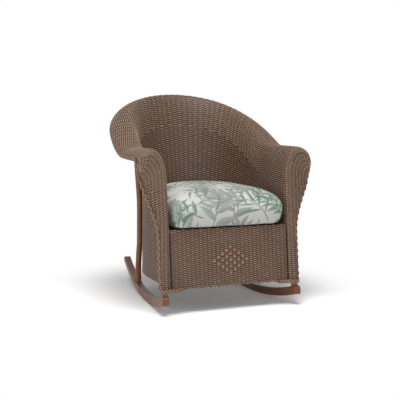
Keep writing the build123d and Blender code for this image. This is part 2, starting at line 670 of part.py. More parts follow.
def make_rear_leg():
    """Left rear leg: a bowed round rod outside the sheet, its top cut to fit the rim hoop."""
    u, step = REAR_LEG_U, 1 / COLUMNS
    hoop = rod(RIM_HOOP_RADIUS + CLEAR, [rim_hoop_point(u + i * step) for i in range(-2, 3)])
    return rod(REAR_LEG_RADIUS, rear_leg_points()) - hoop


def make_seat_hoop():
    """Bent rail inside the tub that carries the seat, from one front leg to the other."""
    sections = []
    for z in (SEAT_RAIL_TOP_Z - SEAT_RAIL_HEIGHT, SEAT_RAIL_TOP_Z):
        outer = [(x, y, z) for x, y in plan_outline(SEAT_HOOP_CLEAR, z)]
        inner = [(x, y, z) for x, y in plan_outline(SEAT_HOOP_CLEAR + SEAT_RAIL_THICKNESS, z)]
        front = NOSE_Y + BEHIND_PANEL / COS_LEAN + (z - LEAN_PIVOT_Z) * TAN_LEAN
        ends = [(row[i][0], front, z) for row in (outer, inner) for i in (0, -1)]
        sections.append(polyline([ends[0], *outer, ends[1], ends[3], *inner[::-1], ends[2], ends[0]]))
    return Solid.make_loft(sections, ruled=True)


def make_seat_rail_front():
    """Straight front rail between the ends of the seat hoop, behind the panel."""
    half = INSIDE_HALF_WIDTH - SEAT_HOOP_CLEAR - SEAT_RAIL_THICKNESS - CLEAR
    front = BEHIND_PANEL
    return tilted(slab(-half, half, front, front + SEAT_RAIL_THICKNESS,
                       lean_z(SEAT_RAIL_TOP_Z - SEAT_RAIL_HEIGHT),
                       lean_z(SEAT_RAIL_TOP_Z) - FRONT_RAIL_DROP))


def make_hem_hoop():
    """Bent rod inside the hem of the sheet."""
    inset = HEM_HOOP_CLEAR + HEM_HOOP_RADIUS
    return rod(HEM_HOOP_RADIUS, [(x, y, HEM_HOOP_Z) for x, y in plan_outline(inset, HEM_HOOP_Z)])


def make_hem_rail():
    """Straight rail behind the foot of the panel."""
    half = INSIDE_HALF_WIDTH - HEM_HOOP_CLEAR - 2 * HEM_HOOP_RADIUS - CLEAR
    front = BEHIND_PANEL
    low = lean_z(HEM_Z) + HEM_RAIL_RISE
    return tilted(slab(-half, half, front, front + HEM_RAIL_THICKNESS, low, low + HEM_RAIL_HEIGHT))


def make_panel_batten():
    """Upright batten behind the left end of the panel, from the hem rail to the seat rail."""
    outer = -(INSIDE_HALF_WIDTH - HEM_HOOP_CLEAR - 2 * HEM_HOOP_RADIUS - CLEAR)
    front = BEHIND_PANEL
    low = lean_z(HEM_Z) + HEM_RAIL_RISE + HEM_RAIL_HEIGHT
    high = lean_z(SEAT_RAIL_TOP_Z - SEAT_RAIL_HEIGHT)
    return tilted(slab(outer, outer + BATTEN_WIDTH, front, front + BATTEN_THICKNESS, low, high))


def make_corner_block():
    """Three-cornered glue block between the front rail and the left side of the hoop."""
    x = -(INSIDE_HALF_WIDTH - SEAT_HOOP_CLEAR - SEAT_RAIL_THICKNESS - CLEAR)
    rear = BEHIND_PANEL + SEAT_RAIL_THICKNESS + CLEAR
    low = SEAT_RAIL_TOP_Z - SEAT_RAIL_HEIGHT + CORNER_BLOCK_RISE
    y = NOSE_Y + rear / COS_LEAN + (low + CORNER_BLOCK_HEIGHT - LEAN_PIVOT_Z) * TAN_LEAN
    corner = Polyline((x, y), (x + CORNER_BLOCK_LEG, y), (x, y + CORNER_BLOCK_LEG), close=True)
    return Pos(0, 0, low) * extrude(make_face(corner), CORNER_BLOCK_HEIGHT, dir=(0, 0, 1))


def make_webbing(lengthwise):
    """Straps over the seat rails; the lengthwise ones lie on the rails, the others on them."""
    z = SEAT_RAIL_TOP_Z + (0 if lengthwise else WEB_THICKNESS)
    edge = plan_outline(WEB_MARGIN, SEAT_RAIL_TOP_Z)
    region = polyline([*edge, edge[0]])
    area = Pos(0, 0, z) * extrude(Face(region), WEB_THICKNESS, dir=(0, 0, 1))
    reach = 2 * (BARREL_DEPTH + INSIDE_HALF_WIDTH)
    straps = []
    for i in range(-2, 3) if lengthwise else range(-2, 4):
        middle = z + WEB_THICKNESS / 2
        if lengthwise:
            strap = Pos(i * WEB_PITCH, 0, middle) * Box(WEB_WIDTH, reach, WEB_THICKNESS)
        else:
            place = Pos(0, i * WEB_PITCH - WEB_FORWARD, middle)
            strap = place * Box(reach, WEB_WIDTH, WEB_THICKNESS)
        straps.append(strap & area)
    return Compound(children=[s for strap in straps for s in strap.solids()])


# ---------------------------------------------------------------- fasteners and their holes
def rocker_bolts(extra=0.0):
    """The two bolts of the left rocker, or with extra their holes."""
    bolts = []
    seat = front_seat()
    up_front = Vector(0, TAN_LEAN, 1).normalized()
    foot, above = rear_leg_points()[:2]
    for place, up in ((seat, up_front), (foot, (above - foot).normalized())):
        bottom = arc_height((place.Y - ROCKER_CONTACT_Y) / COS_TOE) + BOLT_RECESS
        start = place + up * ((bottom - place.Z) / up.Z)
        shank = pin(start, up, place.Z - bottom + BOLT_IN_LEG + extra, BOLT_RADIUS + extra)
        head_length = BOLT_HEAD_HEIGHT + (3 * BOLT_RECESS if extra else 0)
        head_start = start - up * (head_length - BOLT_HEAD_HEIGHT)
        bolts.append(shank + pin(head_start, up, head_length + extra, BOLT_HEAD_RADIUS + extra))
    return bolts


def frame_screws(extra=0.0):
    """Screws from inside the seat hoop, through the sheet, into the left legs, or their holes."""
    screws = []
    middle = SEAT_RAIL_TOP_Z - SEAT_RAIL_HEIGHT / 2
    inner = -(INSIDE_HALF_WIDTH - SEAT_HOOP_CLEAR - SEAT_RAIL_THICKNESS)
    length = SEAT_RAIL_THICKNESS + SEAT_HOOP_CLEAR + SHEET + CLEAR + SCREW_IN_LEG
    for step in (-0.5, 0.5):
        z = middle + step * SCREW_SPACING
        behind = BEHIND_PANEL + SCREW_HEAD_RADIUS + SCREW_EDGE
        y = NOSE_Y + behind / COS_LEAN + (z - LEAN_PIVOT_Z) * TAN_LEAN
        screws.append(screw(Vector(inner, y, z), Vector(-1, 0, 0), length, extra))
    x, y, out_x, out_y, w = plan_point(REAR_LEG_U)
    out = Vector(out_x, out_y, 0)
    face = Vector(x, y + lean_shift(middle, w), middle)
    start = face - out * (SEAT_HOOP_CLEAR + SEAT_RAIL_THICKNESS)
    screws.append(screw(start, out, length, extra))
    return screws


def screw(start, direction, length, extra):
    """A screw whose head lies flush with the surface that it starts from."""
    head = pin(start - direction * extra * 20, direction, SCREW_HEAD_HEIGHT + extra * 21,
               SCREW_HEAD_RADIUS + extra)
    return pin(start, direction, length + extra, SCREW_RADIUS + extra) + head


def hoop_dowel(extra=0.0):
    """Dowel that joins the left end of the rim hoop to the arm facing, or its hole."""
    end = rim_hoop_point(-rim_hoop_start())
    along = (rim_hoop_point(-rim_hoop_start() + 0.01) - end).normalized()
    depth = FACING_THICKNESS - DOWEL_END_WOOD
    start = end - along * (depth + extra)
    return pin(start, along, depth + DOWEL_IN_HOOP + 2 * extra, DOWEL_RADIUS + extra)


def group(shapes):
    """Several separate solids as one node."""
    return Compound(children=[solid for shape in shapes for solid in shape.solids()])


# ---------------------------------------------------------------- cushion
def make_cushion():
    """Loose seat cushion: a D in plan, widest at its waist and crowned on top."""
    bottom = SEAT_RAIL_TOP_Z + 2 * WEB_THICKNESS + CLEAR
    edge = plan_outline(CUSHION_GAP, bottom + CUSHION_WAIST)
    front, half, r = CUSHION_FRONT_Y, INSIDE_HALF_WIDTH - CUSHION_GAP, CUSHION_CORNER_RADIUS
    edge = [(x, y - CUSHION_GAP) for x, y in edge if y > front + 1.6 * r]
    turn = [math.radians(a) for a in (0, 22.5, 45, 67.5, 90)]
    right = [(half - r + r * math.cos(a), front + r - r * math.sin(a)) for a in turn]
    outline = polyline([*edge, *right, *[(-x, y) for x, y in right[::-1]], edge[0]])
    centre_y = (front + max(y for _, y in edge)) / 2
    base = Pos(0, -centre_y, 0) * outline
    # height above the bottom and the share of the full width and depth there
    waist, top = CUSHION_WAIST, CUSHION_THICKNESS
    levels = [(0.0, 0.86), (0.12 * waist, 0.92), (0.5 * waist, 0.985), (waist, 1.0),
              (waist + 0.35 * (top - waist), 0.985), (waist + 0.62 * (top - waist), 0.92),
              (waist + 0.82 * (top - waist), 0.78), (waist + 0.95 * (top - waist), 0.5),
              (top, 0.16)]
    sections = []
    for height, share in levels:
        sections.append(Pos(0, centre_y, bottom + height) * base.scale(share))
    return Solid.make_loft([section.wire() for section in sections], ruled=True)


# ---------------------------------------------------------------- the chair
def with_holes(shape, holes):
    for hole in holes:
        shape = shape - hole
    return shape


def make_chair():
    """Every node of the chair by name."""
    bolt_holes, screw_holes = rocker_bolts(HOLE_CLEAR), frame_screws(HOLE_CLEAR)
    dowel_hole = hoop_dowel(HOLE_CLEAR)
    seat = front_seat()
    foot, above = rear_leg_points()[:2]
    size = 2 * ROCKER_WIDTH
    front_cut = tilted(Pos(seat.X, front_post_y(), front_seat_z() + size / 2)
                       * Box(size, POST_DEPTH + 2 * CLEAR, size))
    rear_cut = (Plane(foot, x_dir=(1, 0, 0), z_dir=above - foot) * Pos(0, 0, size / 2)
                * Box(size, 2 * (REAR_LEG_RADIUS + CLEAR), size))
    rocker = with_holes(make_rocker(), [front_cut, rear_cut] + bolt_holes)
    front_leg = with_holes(make_front_leg(), bolt_holes + screw_holes)
    rear_leg = with_holes(make_rear_leg(), bolt_holes + screw_holes)
    facing = make_arm_facing() - dowel_hole
    batten, block, hem_braid = make_panel_batten(), make_corner_block(), make_hem_braid()
    screws, bolts, dowel = frame_screws(), rocker_bolts(), hoop_dowel()
    mirrored_screw_holes = screw_holes + [other_side(hole) for hole in screw_holes]
    return {
        "woven_body": with_holes(make_woven_body(), mirrored_screw_holes),
        "front_panel": make_front_panel(),
        "edge_braid": make_edge_braid(),
        "hem_braid_left": hem_braid,
        "hem_braid_right": other_side(hem_braid),
        "rocker_left": rocker,
        "rocker_right": other_side(rocker),
        "front_leg_left": front_leg,
        "front_leg_right": other_side(front_leg),
        "rear_leg_left": rear_leg,
        "rear_leg_right": other_side(rear_leg),
        "arm_facing_left": facing,
        "arm_facing_right": other_side(facing),
        "rim_hoop": with_holes(make_rim_hoop(), [dowel_hole, other_side(dowel_hole)]),
        "seat_hoop": with_holes(make_seat_hoop(), mirrored_screw_holes),
        "seat_rail_front": make_seat_rail_front(),
        "hem_hoop": make_hem_hoop(),
        "hem_rail_front": make_hem_rail(),
        "panel_batten_left": batten,
        "panel_batten_right": other_side(batten),
        "corner_block_left": block,
        "corner_block_right": other_side(block),
        "webbing_lengthwise": make_webbing(True),
        "webbing_crosswise": make_webbing(False),
        "rocker_bolts": group(bolts + [other_side(bolt) for bolt in bolts]),
        "frame_screws": group(screws + [other_side(screw) for screw in screws]),
        "hoop_dowels": group([dowel, other_side(dowel)]),
        "seat_cushion": make_cushion(),
    }


def main():
    os.makedirs("parts", exist_ok=True)
    chair = make_chair()
    boxes = [shape.bounding_box() for shape in chair.values()]
    front = min(box.min.Y for box in boxes)
    rear = max(box.max.Y for box in boxes)
    for name, shape in chair.items():
        export_step(Pos(0, -(front + rear) / 2, 0) * shape, f"parts/{name}.step")
    print("front, rear and middle of the footprint:", front, rear, (front + rear) / 2)


main()
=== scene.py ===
"""Looks of a barrel-backed porch rocking chair: woven strands, braids, wood and a printed cushion.

Lengths inside the functions are millimetres in the chair's own coordinates: X across the chair, -Y
the front, +Z up, Z = 0 the floor. in_frame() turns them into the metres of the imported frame.

The form of the woven sheet is a function of two numbers:
    u  goes round the chair, from -1 at the front of the left arm, through 0 in the middle of the
       back, to 1 at the front of the right arm
    v  goes up the sheet, 0 at the hem, 1 where the roll begins, 2 on its crest, 3 at the braid
Round the post in front of each arm, s goes from 0 at the arm's inner face to 3 at the outer side.
"""
import math

import bpy
import numpy as np
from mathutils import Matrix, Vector


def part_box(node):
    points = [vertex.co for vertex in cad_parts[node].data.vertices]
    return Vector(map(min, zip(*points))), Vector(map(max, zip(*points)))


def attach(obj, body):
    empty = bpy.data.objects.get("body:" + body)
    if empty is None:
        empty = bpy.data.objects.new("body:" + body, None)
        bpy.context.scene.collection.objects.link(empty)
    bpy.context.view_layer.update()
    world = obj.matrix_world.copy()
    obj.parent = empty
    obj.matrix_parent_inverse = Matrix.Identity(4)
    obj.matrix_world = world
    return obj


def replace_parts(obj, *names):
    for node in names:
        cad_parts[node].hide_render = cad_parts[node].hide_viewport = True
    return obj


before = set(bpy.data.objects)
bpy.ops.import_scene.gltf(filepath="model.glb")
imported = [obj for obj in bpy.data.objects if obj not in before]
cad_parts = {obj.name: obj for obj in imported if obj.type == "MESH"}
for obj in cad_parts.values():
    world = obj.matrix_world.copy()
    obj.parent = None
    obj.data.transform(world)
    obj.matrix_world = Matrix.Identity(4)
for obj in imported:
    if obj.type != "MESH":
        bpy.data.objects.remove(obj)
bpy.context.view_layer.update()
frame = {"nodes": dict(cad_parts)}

bl_info = {
    "name": "Woven Porch Rocker",
    "version": (1, 0, 0),
    "blender": (4, 5, 0),
    "location": "3D View > Sidebar > Woven Rocker",
    "description": "Dresses the packed frame of a loom-woven porch rocking chair",
    "category": "Object",
}

# ------------------------------------------------------------------ form of the woven sheet, mm
LEAN, LEAN_PIVOT_Z = 5.8, 250.0      # degrees, and the height at which the lean moves nothing
NOSE_Y = -312.0
SHEET, CLEAR = 4.0, 0.3              # thickness of the sheet, clearance between neighbours
INSIDE_HALF_WIDTH = 272.0
BARREL_FRONT_Y, BARREL_DEPTH, BARREL_POWER = -22.0, 352.0, 2.11
HEM_Z, ARM_CREST_Z, BACK_CREST_Z = 108.0, 691.0, 926.0
RISE_START = 0.28                    # share of the half rim that stays level along the arm
ARM_ROLL_RISE, BACK_ROLL_RISE = 135.0, 148.0
CREST_OUT = (62.0, 38.0, 28.0)       # crest outside the inner face: arm, turn, back
EDGE_OUT = (126.0, 132.0, 109.0)     # the same for the rolled edge
EDGE_DROP = (43.0, 36.0, 60.0)       # how far the edge hangs below the crest
BACK_LOWER_LEAN, BACK_RECLINE = -2.4, 10.6           # degrees, below and above the seat
RECLINE_Z, RECLINE_EASE = 430.0, 50.0
NOSE_RADIUS, NOSE_OUTER_RADIUS = 26.0, 13.0
NOSE_WIDTH, NOSE_FLARE = 46.0, 88.0
NOSE_FLARE_START_Z, NOSE_FLARE_END_Z = 320.0, 660.0
NOSE_SHOULDER_Z, NOSE_CREST_Z, NOSE_TIP_Z = 500.0, 592.0, 620.0
NOSE_CORNER_SHARES = (0.62, 0.3)     # the corners take at most these shares of its width
NOSE_TIP_START, NOSE_TIP_TAPER = 2.2, 0.35           # v from which the outer corner gets sharper
BRAID_RADIUS, HEM_BRAID_RADIUS = 7.0, 6.0
PANEL_SETBACK, PANEL_SIDE_GAP, PANEL_TOP_Z = 12.0, 2.0, 355.0
PANEL_END_DROP = 7.0                 # the ends of the hem hang lower than its middle
HANG_START, HANG_END = 66.0, 44.0    # from the end of the panel
DIAMOND_Z, DIAMOND_HALF_WIDTH, DIAMOND_HALF_HEIGHT = 218.0, 93.5, 64.5
DIAMOND_PITCH, DIAMOND_RISE = 18.7, 27.0
RAIL_THICKNESS = 20.0                # of the front seat rail, which lies against the panel

NOSE_HALF_WIDTH = INSIDE_HALF_WIDTH + NOSE_WIDTH
PANEL_HALF_WIDTH = INSIDE_HALF_WIDTH - PANEL_SIDE_GAP
BRAID_SEAT = BRAID_RADIUS + CLEAR
TAN_LEAN = math.tan(math.radians(LEAN))
COS_LEAN = math.cos(math.radians(LEAN))
SIN_LEAN = math.sin(math.radians(LEAN))
ARM_END_Y = NOSE_Y + NOSE_RADIUS
ARM_LENGTH = BARREL_FRONT_Y - ARM_END_Y
# a quarter of the girth of an ellipse, by Ramanujan's formula
SKEW = ((INSIDE_HALF_WIDTH - BARREL_DEPTH) / (INSIDE_HALF_WIDTH + BARREL_DEPTH)) ** 2
QUARTER = (math.pi * (INSIDE_HALF_WIDTH + BARREL_DEPTH) / 4
           * (1 + 3 * SKEW / (10 + math.sqrt(4 - 3 * SKEW))))
ARM_SHARE = ARM_LENGTH / (ARM_LENGTH + QUARTER)
HALF_PI = math.pi / 2


def smooth(t):
    """Goes from 0 to 1 with no slope or bend at either end: 6t^5 - 15t^4 + 10t^3."""
    t = np.clip(t, 0.0, 1.0)
    return t ** 3 * (t * (6 * t - 15) + 10)


def along_rim(w, sizes):
    """A size that changes smoothly from the arm (w = 0) through the turn (0.5) to the back (1)."""
    arm, turn, back = sizes
    return np.where(w < 0.5, arm + (turn - arm) * smooth(2 * w),
                    turn + (back - turn) * smooth(2 * w - 1))


def plan(u):
    """Inner face in plan at u: straight arms, then a superellipse r = (|cos/a|^n + |sin/b|^n)^(-1/n).

    Gives x, y, the outward direction in plan and w, which is 0 at the arm's front, 1 at the back.
    """
    side = np.where(u < 0, -1.0, 1.0)
    w = 1.0 - np.abs(u)
    angle = HALF_PI * np.clip((w - ARM_SHARE) / (1 - ARM_SHARE), 0.0, 1.0)
    c, s, n = np.maximum(np.cos(angle), 0.0), np.sin(angle), BARREL_POWER
    reach = ((c / INSIDE_HALF_WIDTH) ** n + (s / BARREL_DEPTH) ** n) ** (-1 / n)
    x, y = reach * c, reach * s
    out_x = x ** (n - 1) / INSIDE_HALF_WIDTH ** n
    out_y = y ** (n - 1) / BARREL_DEPTH ** n
    size = np.hypot(out_x, out_y)
    y = np.where(w < ARM_SHARE, ARM_END_Y + ARM_LENGTH * w / ARM_SHARE, BARREL_FRONT_Y + y)
    return side * x, y, side * out_x / size, out_y / size, w


def crest_height(w):
    """Height of the crest: level along the arm, then half a cosine wave up to the back."""
    t = np.clip((w - RISE_START) / (1 - RISE_START), 0.0, 1.0)
    return ARM_CREST_Z + (BACK_CREST_Z - ARM_CREST_Z) * (0.5 - 0.5 * np.cos(math.pi * t))


def roll_rise(w):
    """Height from the upright wall to the crest."""
    return ARM_ROLL_RISE + (BACK_ROLL_RISE - ARM_ROLL_RISE) * smooth(w)


def tub(u, v):
    """Good face of the sheet: a wall for v 0 to 1, a quarter ellipse up to the crest for v 1 to 2,
    and a quarter ellipse down to the middle of the braid for v 2 to 3, all leaned and reclined."""
    u, v = np.broadcast_arrays(u, v)
    x, y, out_x, out_y, w = plan(u)
    crest, rise = crest_height(w), roll_rise(w)
    crest_out, edge_out = along_rim(w, CREST_OUT), along_rim(w, EDGE_OUT)
    drop = along_rim(w, EDGE_DROP)
    a, b = HALF_PI * (v - 1), HALF_PI * (v - 2)
    z = np.where(v <= 1, HEM_Z + (crest - rise - HEM_Z) * v,
                 np.where(v <= 2, crest - rise + rise * np.sin(a), crest - drop + drop * np.cos(b)))
    out = np.where(v <= 1, 0.0, np.where(v <= 2, crest_out * (1 - np.cos(a)),
                                         crest_out + (edge_out - crest_out) * np.sin(b)))
    above = z - RECLINE_Z
    recline = np.where(above < -RECLINE_EASE, 0.0,
                       np.where(above < RECLINE_EASE,
                                (above + RECLINE_EASE) ** 2 / (4 * RECLINE_EASE), above))
    # the recline comes in over the last five sevenths of the way from the arm to the back
    out = out + smooth(1.4 * w - 0.4) * math.tan(math.radians(BACK_RECLINE)) * recline
    share = smooth(1.6 * w)
    lean = np.radians(LEAN * (1 - share) + BACK_LOWER_LEAN * share)
    y = y + out * out_y + (z - LEAN_PIVOT_Z) * np.tan(lean)
    return np.stack([x + out * out_x, y, z], -1)


def end_of_sheet(w):
    """v at which the sheet meets the braid."""
    drop = along_rim(w, EDGE_DROP)
    return 2 + np.arccos(BRAID_SEAT / drop) / HALF_PI


def nose_side_x(z):
    """Outer side of the nose: upright low down, then half a cosine wave out to the arm's tip."""
    t = np.clip((z - NOSE_FLARE_START_Z) / (NOSE_FLARE_END_Z - NOSE_FLARE_START_Z), 0.0, 1.0)
    return NOSE_HALF_WIDTH + NOSE_FLARE * (0.5 - 0.5 * np.cos(math.pi * t))


def nose(side, v, s):
    """Good face in front of an arm: from the arm's inner face (s = 0) round a corner, across a flat
    front and round the outer corner to the side (s = 3), with the front plane leaning back."""
    v, s = np.broadcast_arrays(v, s)
    inner = tub(np.full(v.shape, float(side)), v)
    outer_z = np.interp(v, [0, 1, 2, 3], [HEM_Z, NOSE_SHOULDER_Z, NOSE_CREST_Z, NOSE_TIP_Z])
    across_x, across_z = side * nose_side_x(outer_z) - inner[..., 0], outer_z - inner[..., 2]
    width = np.hypot(across_x, across_z)
    tip = smooth((v - NOSE_TIP_START) / (end_of_sheet(0.0) - NOSE_TIP_START))
    first = np.minimum(NOSE_RADIUS, NOSE_CORNER_SHARES[0] * width)
    last = np.minimum(NOSE_OUTER_RADIUS, NOSE_CORNER_SHARES[1] * width) * (1 - NOSE_TIP_TAPER * tip)
    forward = NOSE_RADIUS - NOSE_OUTER_RADIUS + last
    a, b = HALF_PI * np.clip(s, 0, 1), HALF_PI * np.clip(s - 2, 0, 1)
    flat = np.clip(s - 1, 0, 1) * (width - first - last)
    reach = first * (1 - np.cos(a)) + flat + last * np.sin(b)
    ahead = forward * np.sin(a) - last * (1 - np.cos(b))
    x = inner[..., 0] + across_x / width * reach
    rise = across_z / width * reach
    return np.stack([x, inner[..., 1] + rise * TAN_LEAN - ahead, inner[..., 2] + rise], -1)


# ------------------------------------------------------------------ helpers on arrays
def unit(a):
    """Vectors of length one."""
    return a / np.maximum(np.linalg.norm(a, axis=-1, keepdims=True), 1e-9)


def even_steps(points, count, axis, offset=0.5):
    """Positions that share each line of points along an axis evenly by its length.

    The running length of each line is inverted by finding, for each wanted length, the step that
    holds it. The result is a fractional index with count entries along the axis.
    """
    points = np.moveaxis(points, axis, 0)
    step = np.linalg.norm(np.diff(points, axis=0), axis=-1)
    run = np.concatenate([np.zeros((1,) + step.shape[1:]), np.cumsum(step, 0)])
    wanted = (np.arange(count) + offset) / (count if offset else count - 1)
    wanted = wanted.reshape((-1,) + (1,) * (run.ndim - 1)) * run[-1]
    index = (run[None] <= wanted[:, None]).sum(1) - 1
    index = np.clip(index, 0, len(step) - 1)
    low = np.take_along_axis(run, index, 0)
    size = np.take_along_axis(step, index, 0)
    part = np.clip((wanted - low) / np.maximum(size, 1e-9), 0, 1)
    return np.moveaxis(index + part, 0, axis)


def pick(values, index, axis):
    """Values at fractional indices along an axis, by straight interpolation."""
    low = np.clip(np.floor(index).astype(int), 0, values.shape[axis] - 2)
    part = index - low
    if values.ndim > index.ndim:
        low, part = low[..., None], part[..., None]
    a, b = np.take_along_axis(values, low, axis), np.take_along_axis(values, low + 1, axis)
    return a + (b - a) * part


def grid_normals(points):
    """Unit normals of a grid of points, rows going up and columns going to the right."""
    up, along = np.gradient(points, axis=0), np.gradient(points, axis=1)
    return unit(np.cross(along, up))


def in_frame(points):
    """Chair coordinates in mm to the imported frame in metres."""
    return (points - np.array([0.0, shift_y(), 0.0])) / 1000.0


def shift_y():
    """How far the chair's own origin lies behind the frame's, from the front panel's front face."""
    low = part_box("seat_rail_front")[0]
    behind = PANEL_SETBACK + SHEET + CLEAR
    rail_y = NOSE_Y + behind / COS_LEAN
    rail_z = low[2] * 1000.0 + (behind + RAIL_THICKNESS) * SIN_LEAN
    return rail_y + (rail_z - LEAN_PIVOT_Z) * TAN_LEAN - low[1] * 1000.0


def build_mesh(name, points, polygons, lift=None):
    """A smooth mesh object from points in mm and lists of polygons, each list an array with one
    polygon to a row. Points that no polygon uses are left out. Lift is an optional value for each
    point, from -1 deep in the weave to 1 on its crests, which the strand finish turns into painted
    shade and painted highlight."""
    counts = np.concatenate([np.full(len(p), p.shape[1]) for p in polygons if len(p)])
    loops = np.concatenate([p.ravel() for p in polygons if len(p)])
    used, loops = np.unique(loops, return_inverse=True)
    points = in_frame(points.reshape(-1, 3)[used])
    mesh = bpy.data.meshes.new(name)
    mesh.vertices.add(len(points))
    mesh.vertices.foreach_set("co", points.astype(np.float32).ravel())
    mesh.loops.add(len(loops))
    mesh.loops.foreach_set("vertex_index", loops.astype(np.int32).ravel())
    mesh.polygons.add(len(counts))
    starts = np.concatenate([[0], np.cumsum(counts)[:-1]])
    mesh.polygons.foreach_set("loop_start", starts.astype(np.int32))
    mesh.polygons.foreach_set("use_smooth", np.ones(len(counts), bool))
    mesh.update(calc_edges=True)
    if lift is not None:
        layer = mesh.attributes.new("lift", "FLOAT", "POINT")
        layer.data.foreach_set("value", lift.ravel()[used].astype(np.float32))
    piece = bpy.data.objects.new(name, mesh)
    bpy.context.scene.collection.objects.link(piece)
    return piece


def tube_rings(path, normal, thick, wide, sides):
    """Rings round paths: centre + normal * thick * cos + sideways * wide * sin, where sideways is
    the path's direction crossed with the normal. Paths run along the last axis but one."""
    direction = unit(np.gradient(path, axis=-2))
    normal = unit(normal - direction * (normal * direction).sum(-1, keepdims=True))
    sideways = np.cross(direction, normal)
    turn = 2 * math.pi * np.arange(sides) / sides
    thick, wide = np.broadcast_to(thick, path.shape[:-1]), np.broadcast_to(wide, path.shape[:-1])
    return (path[..., None, :]
            + normal[..., None, :] * (thick[..., None] * np.cos(turn))[..., None]
            + sideways[..., None, :] * (wide[..., None] * np.sin(turn))[..., None])


def tubes(name, rings, keep=None, lift=None, shadow=0.5):
    """Closed tubes from rings of shape strands x samples x sides x 3, with flat ends.

    Where keep is false the strand is left out, and each run of kept samples gets its own ends.
    """
    strands, samples, sides = rings.shape[:3]
    if keep is None:
        keep = np.ones((strands, samples), bool)
    ids = np.arange(strands * samples * sides).reshape(strands, samples, sides)
    after = np.roll(ids, -1, axis=2)
    both = keep[:, :-1] & keep[:, 1:]
    quads = np.stack([ids[:, :-1], after[:, :-1], after[:, 1:], ids[:, 1:]], -1)[both].reshape(-1, 4)
    none = np.zeros((strands, 1), bool)
    starts = np.concatenate([both, none], 1) & ~np.concatenate([none, both], 1)
    ends = np.concatenate([none, both], 1) & ~np.concatenate([both, none], 1)
    # painted shade: the lift turns over on the far side of each strand and darkens along its sides
    if lift is not None:
        face = np.cos(2 * math.pi * np.arange(sides) / sides)
        face = np.sign(face) * np.sqrt(np.abs(face))
        lift = lift[..., None] * face - shadow * (1 - np.abs(face))
    return build_mesh(name, rings, [quads, ids[starts][:, ::-1], ids[ends]], lift)


def closed_sheet(name, front, back):
    """A closed thin sheet between two grids of points, rows going up, columns going right as seen
    from the front side."""
    rows, cols = front.shape[:2]
    ids = np.arange(rows * cols).reshape(rows, cols)
    far = ids + rows * cols
    quads = [np.stack([ids[:-1, :-1], ids[:-1, 1:], ids[1:, 1:], ids[1:, :-1]], -1).reshape(-1, 4),
             np.stack([far[:-1, :-1], far[1:, :-1], far[1:, 1:], far[:-1, 1:]], -1).reshape(-1, 4)]
    rim = np.concatenate([ids[0, :-1], ids[:-1, -1], ids[-1, :0:-1], ids[:0:-1, 0]])
    after = np.roll(rim, -1)
    quads.append(np.stack([rim, rim + rows * cols, after + rows * cols, after], -1))
    return build_mesh(name, np.concatenate([front.reshape(-1, 3), back.reshape(-1, 3)]), quads)


# ------------------------------------------------------------------ materials
def linear(rgb):
    """An sRGB colour of 0 to 255 as the linear colour that sockets take."""
    c = np.array(rgb, float) / 255.0
    c = np.where(c <= 0.04045, c / 12.92, ((c + 0.055) / 1.055) ** 2.4)
    return (*(float(x) for x in c), 1.0)


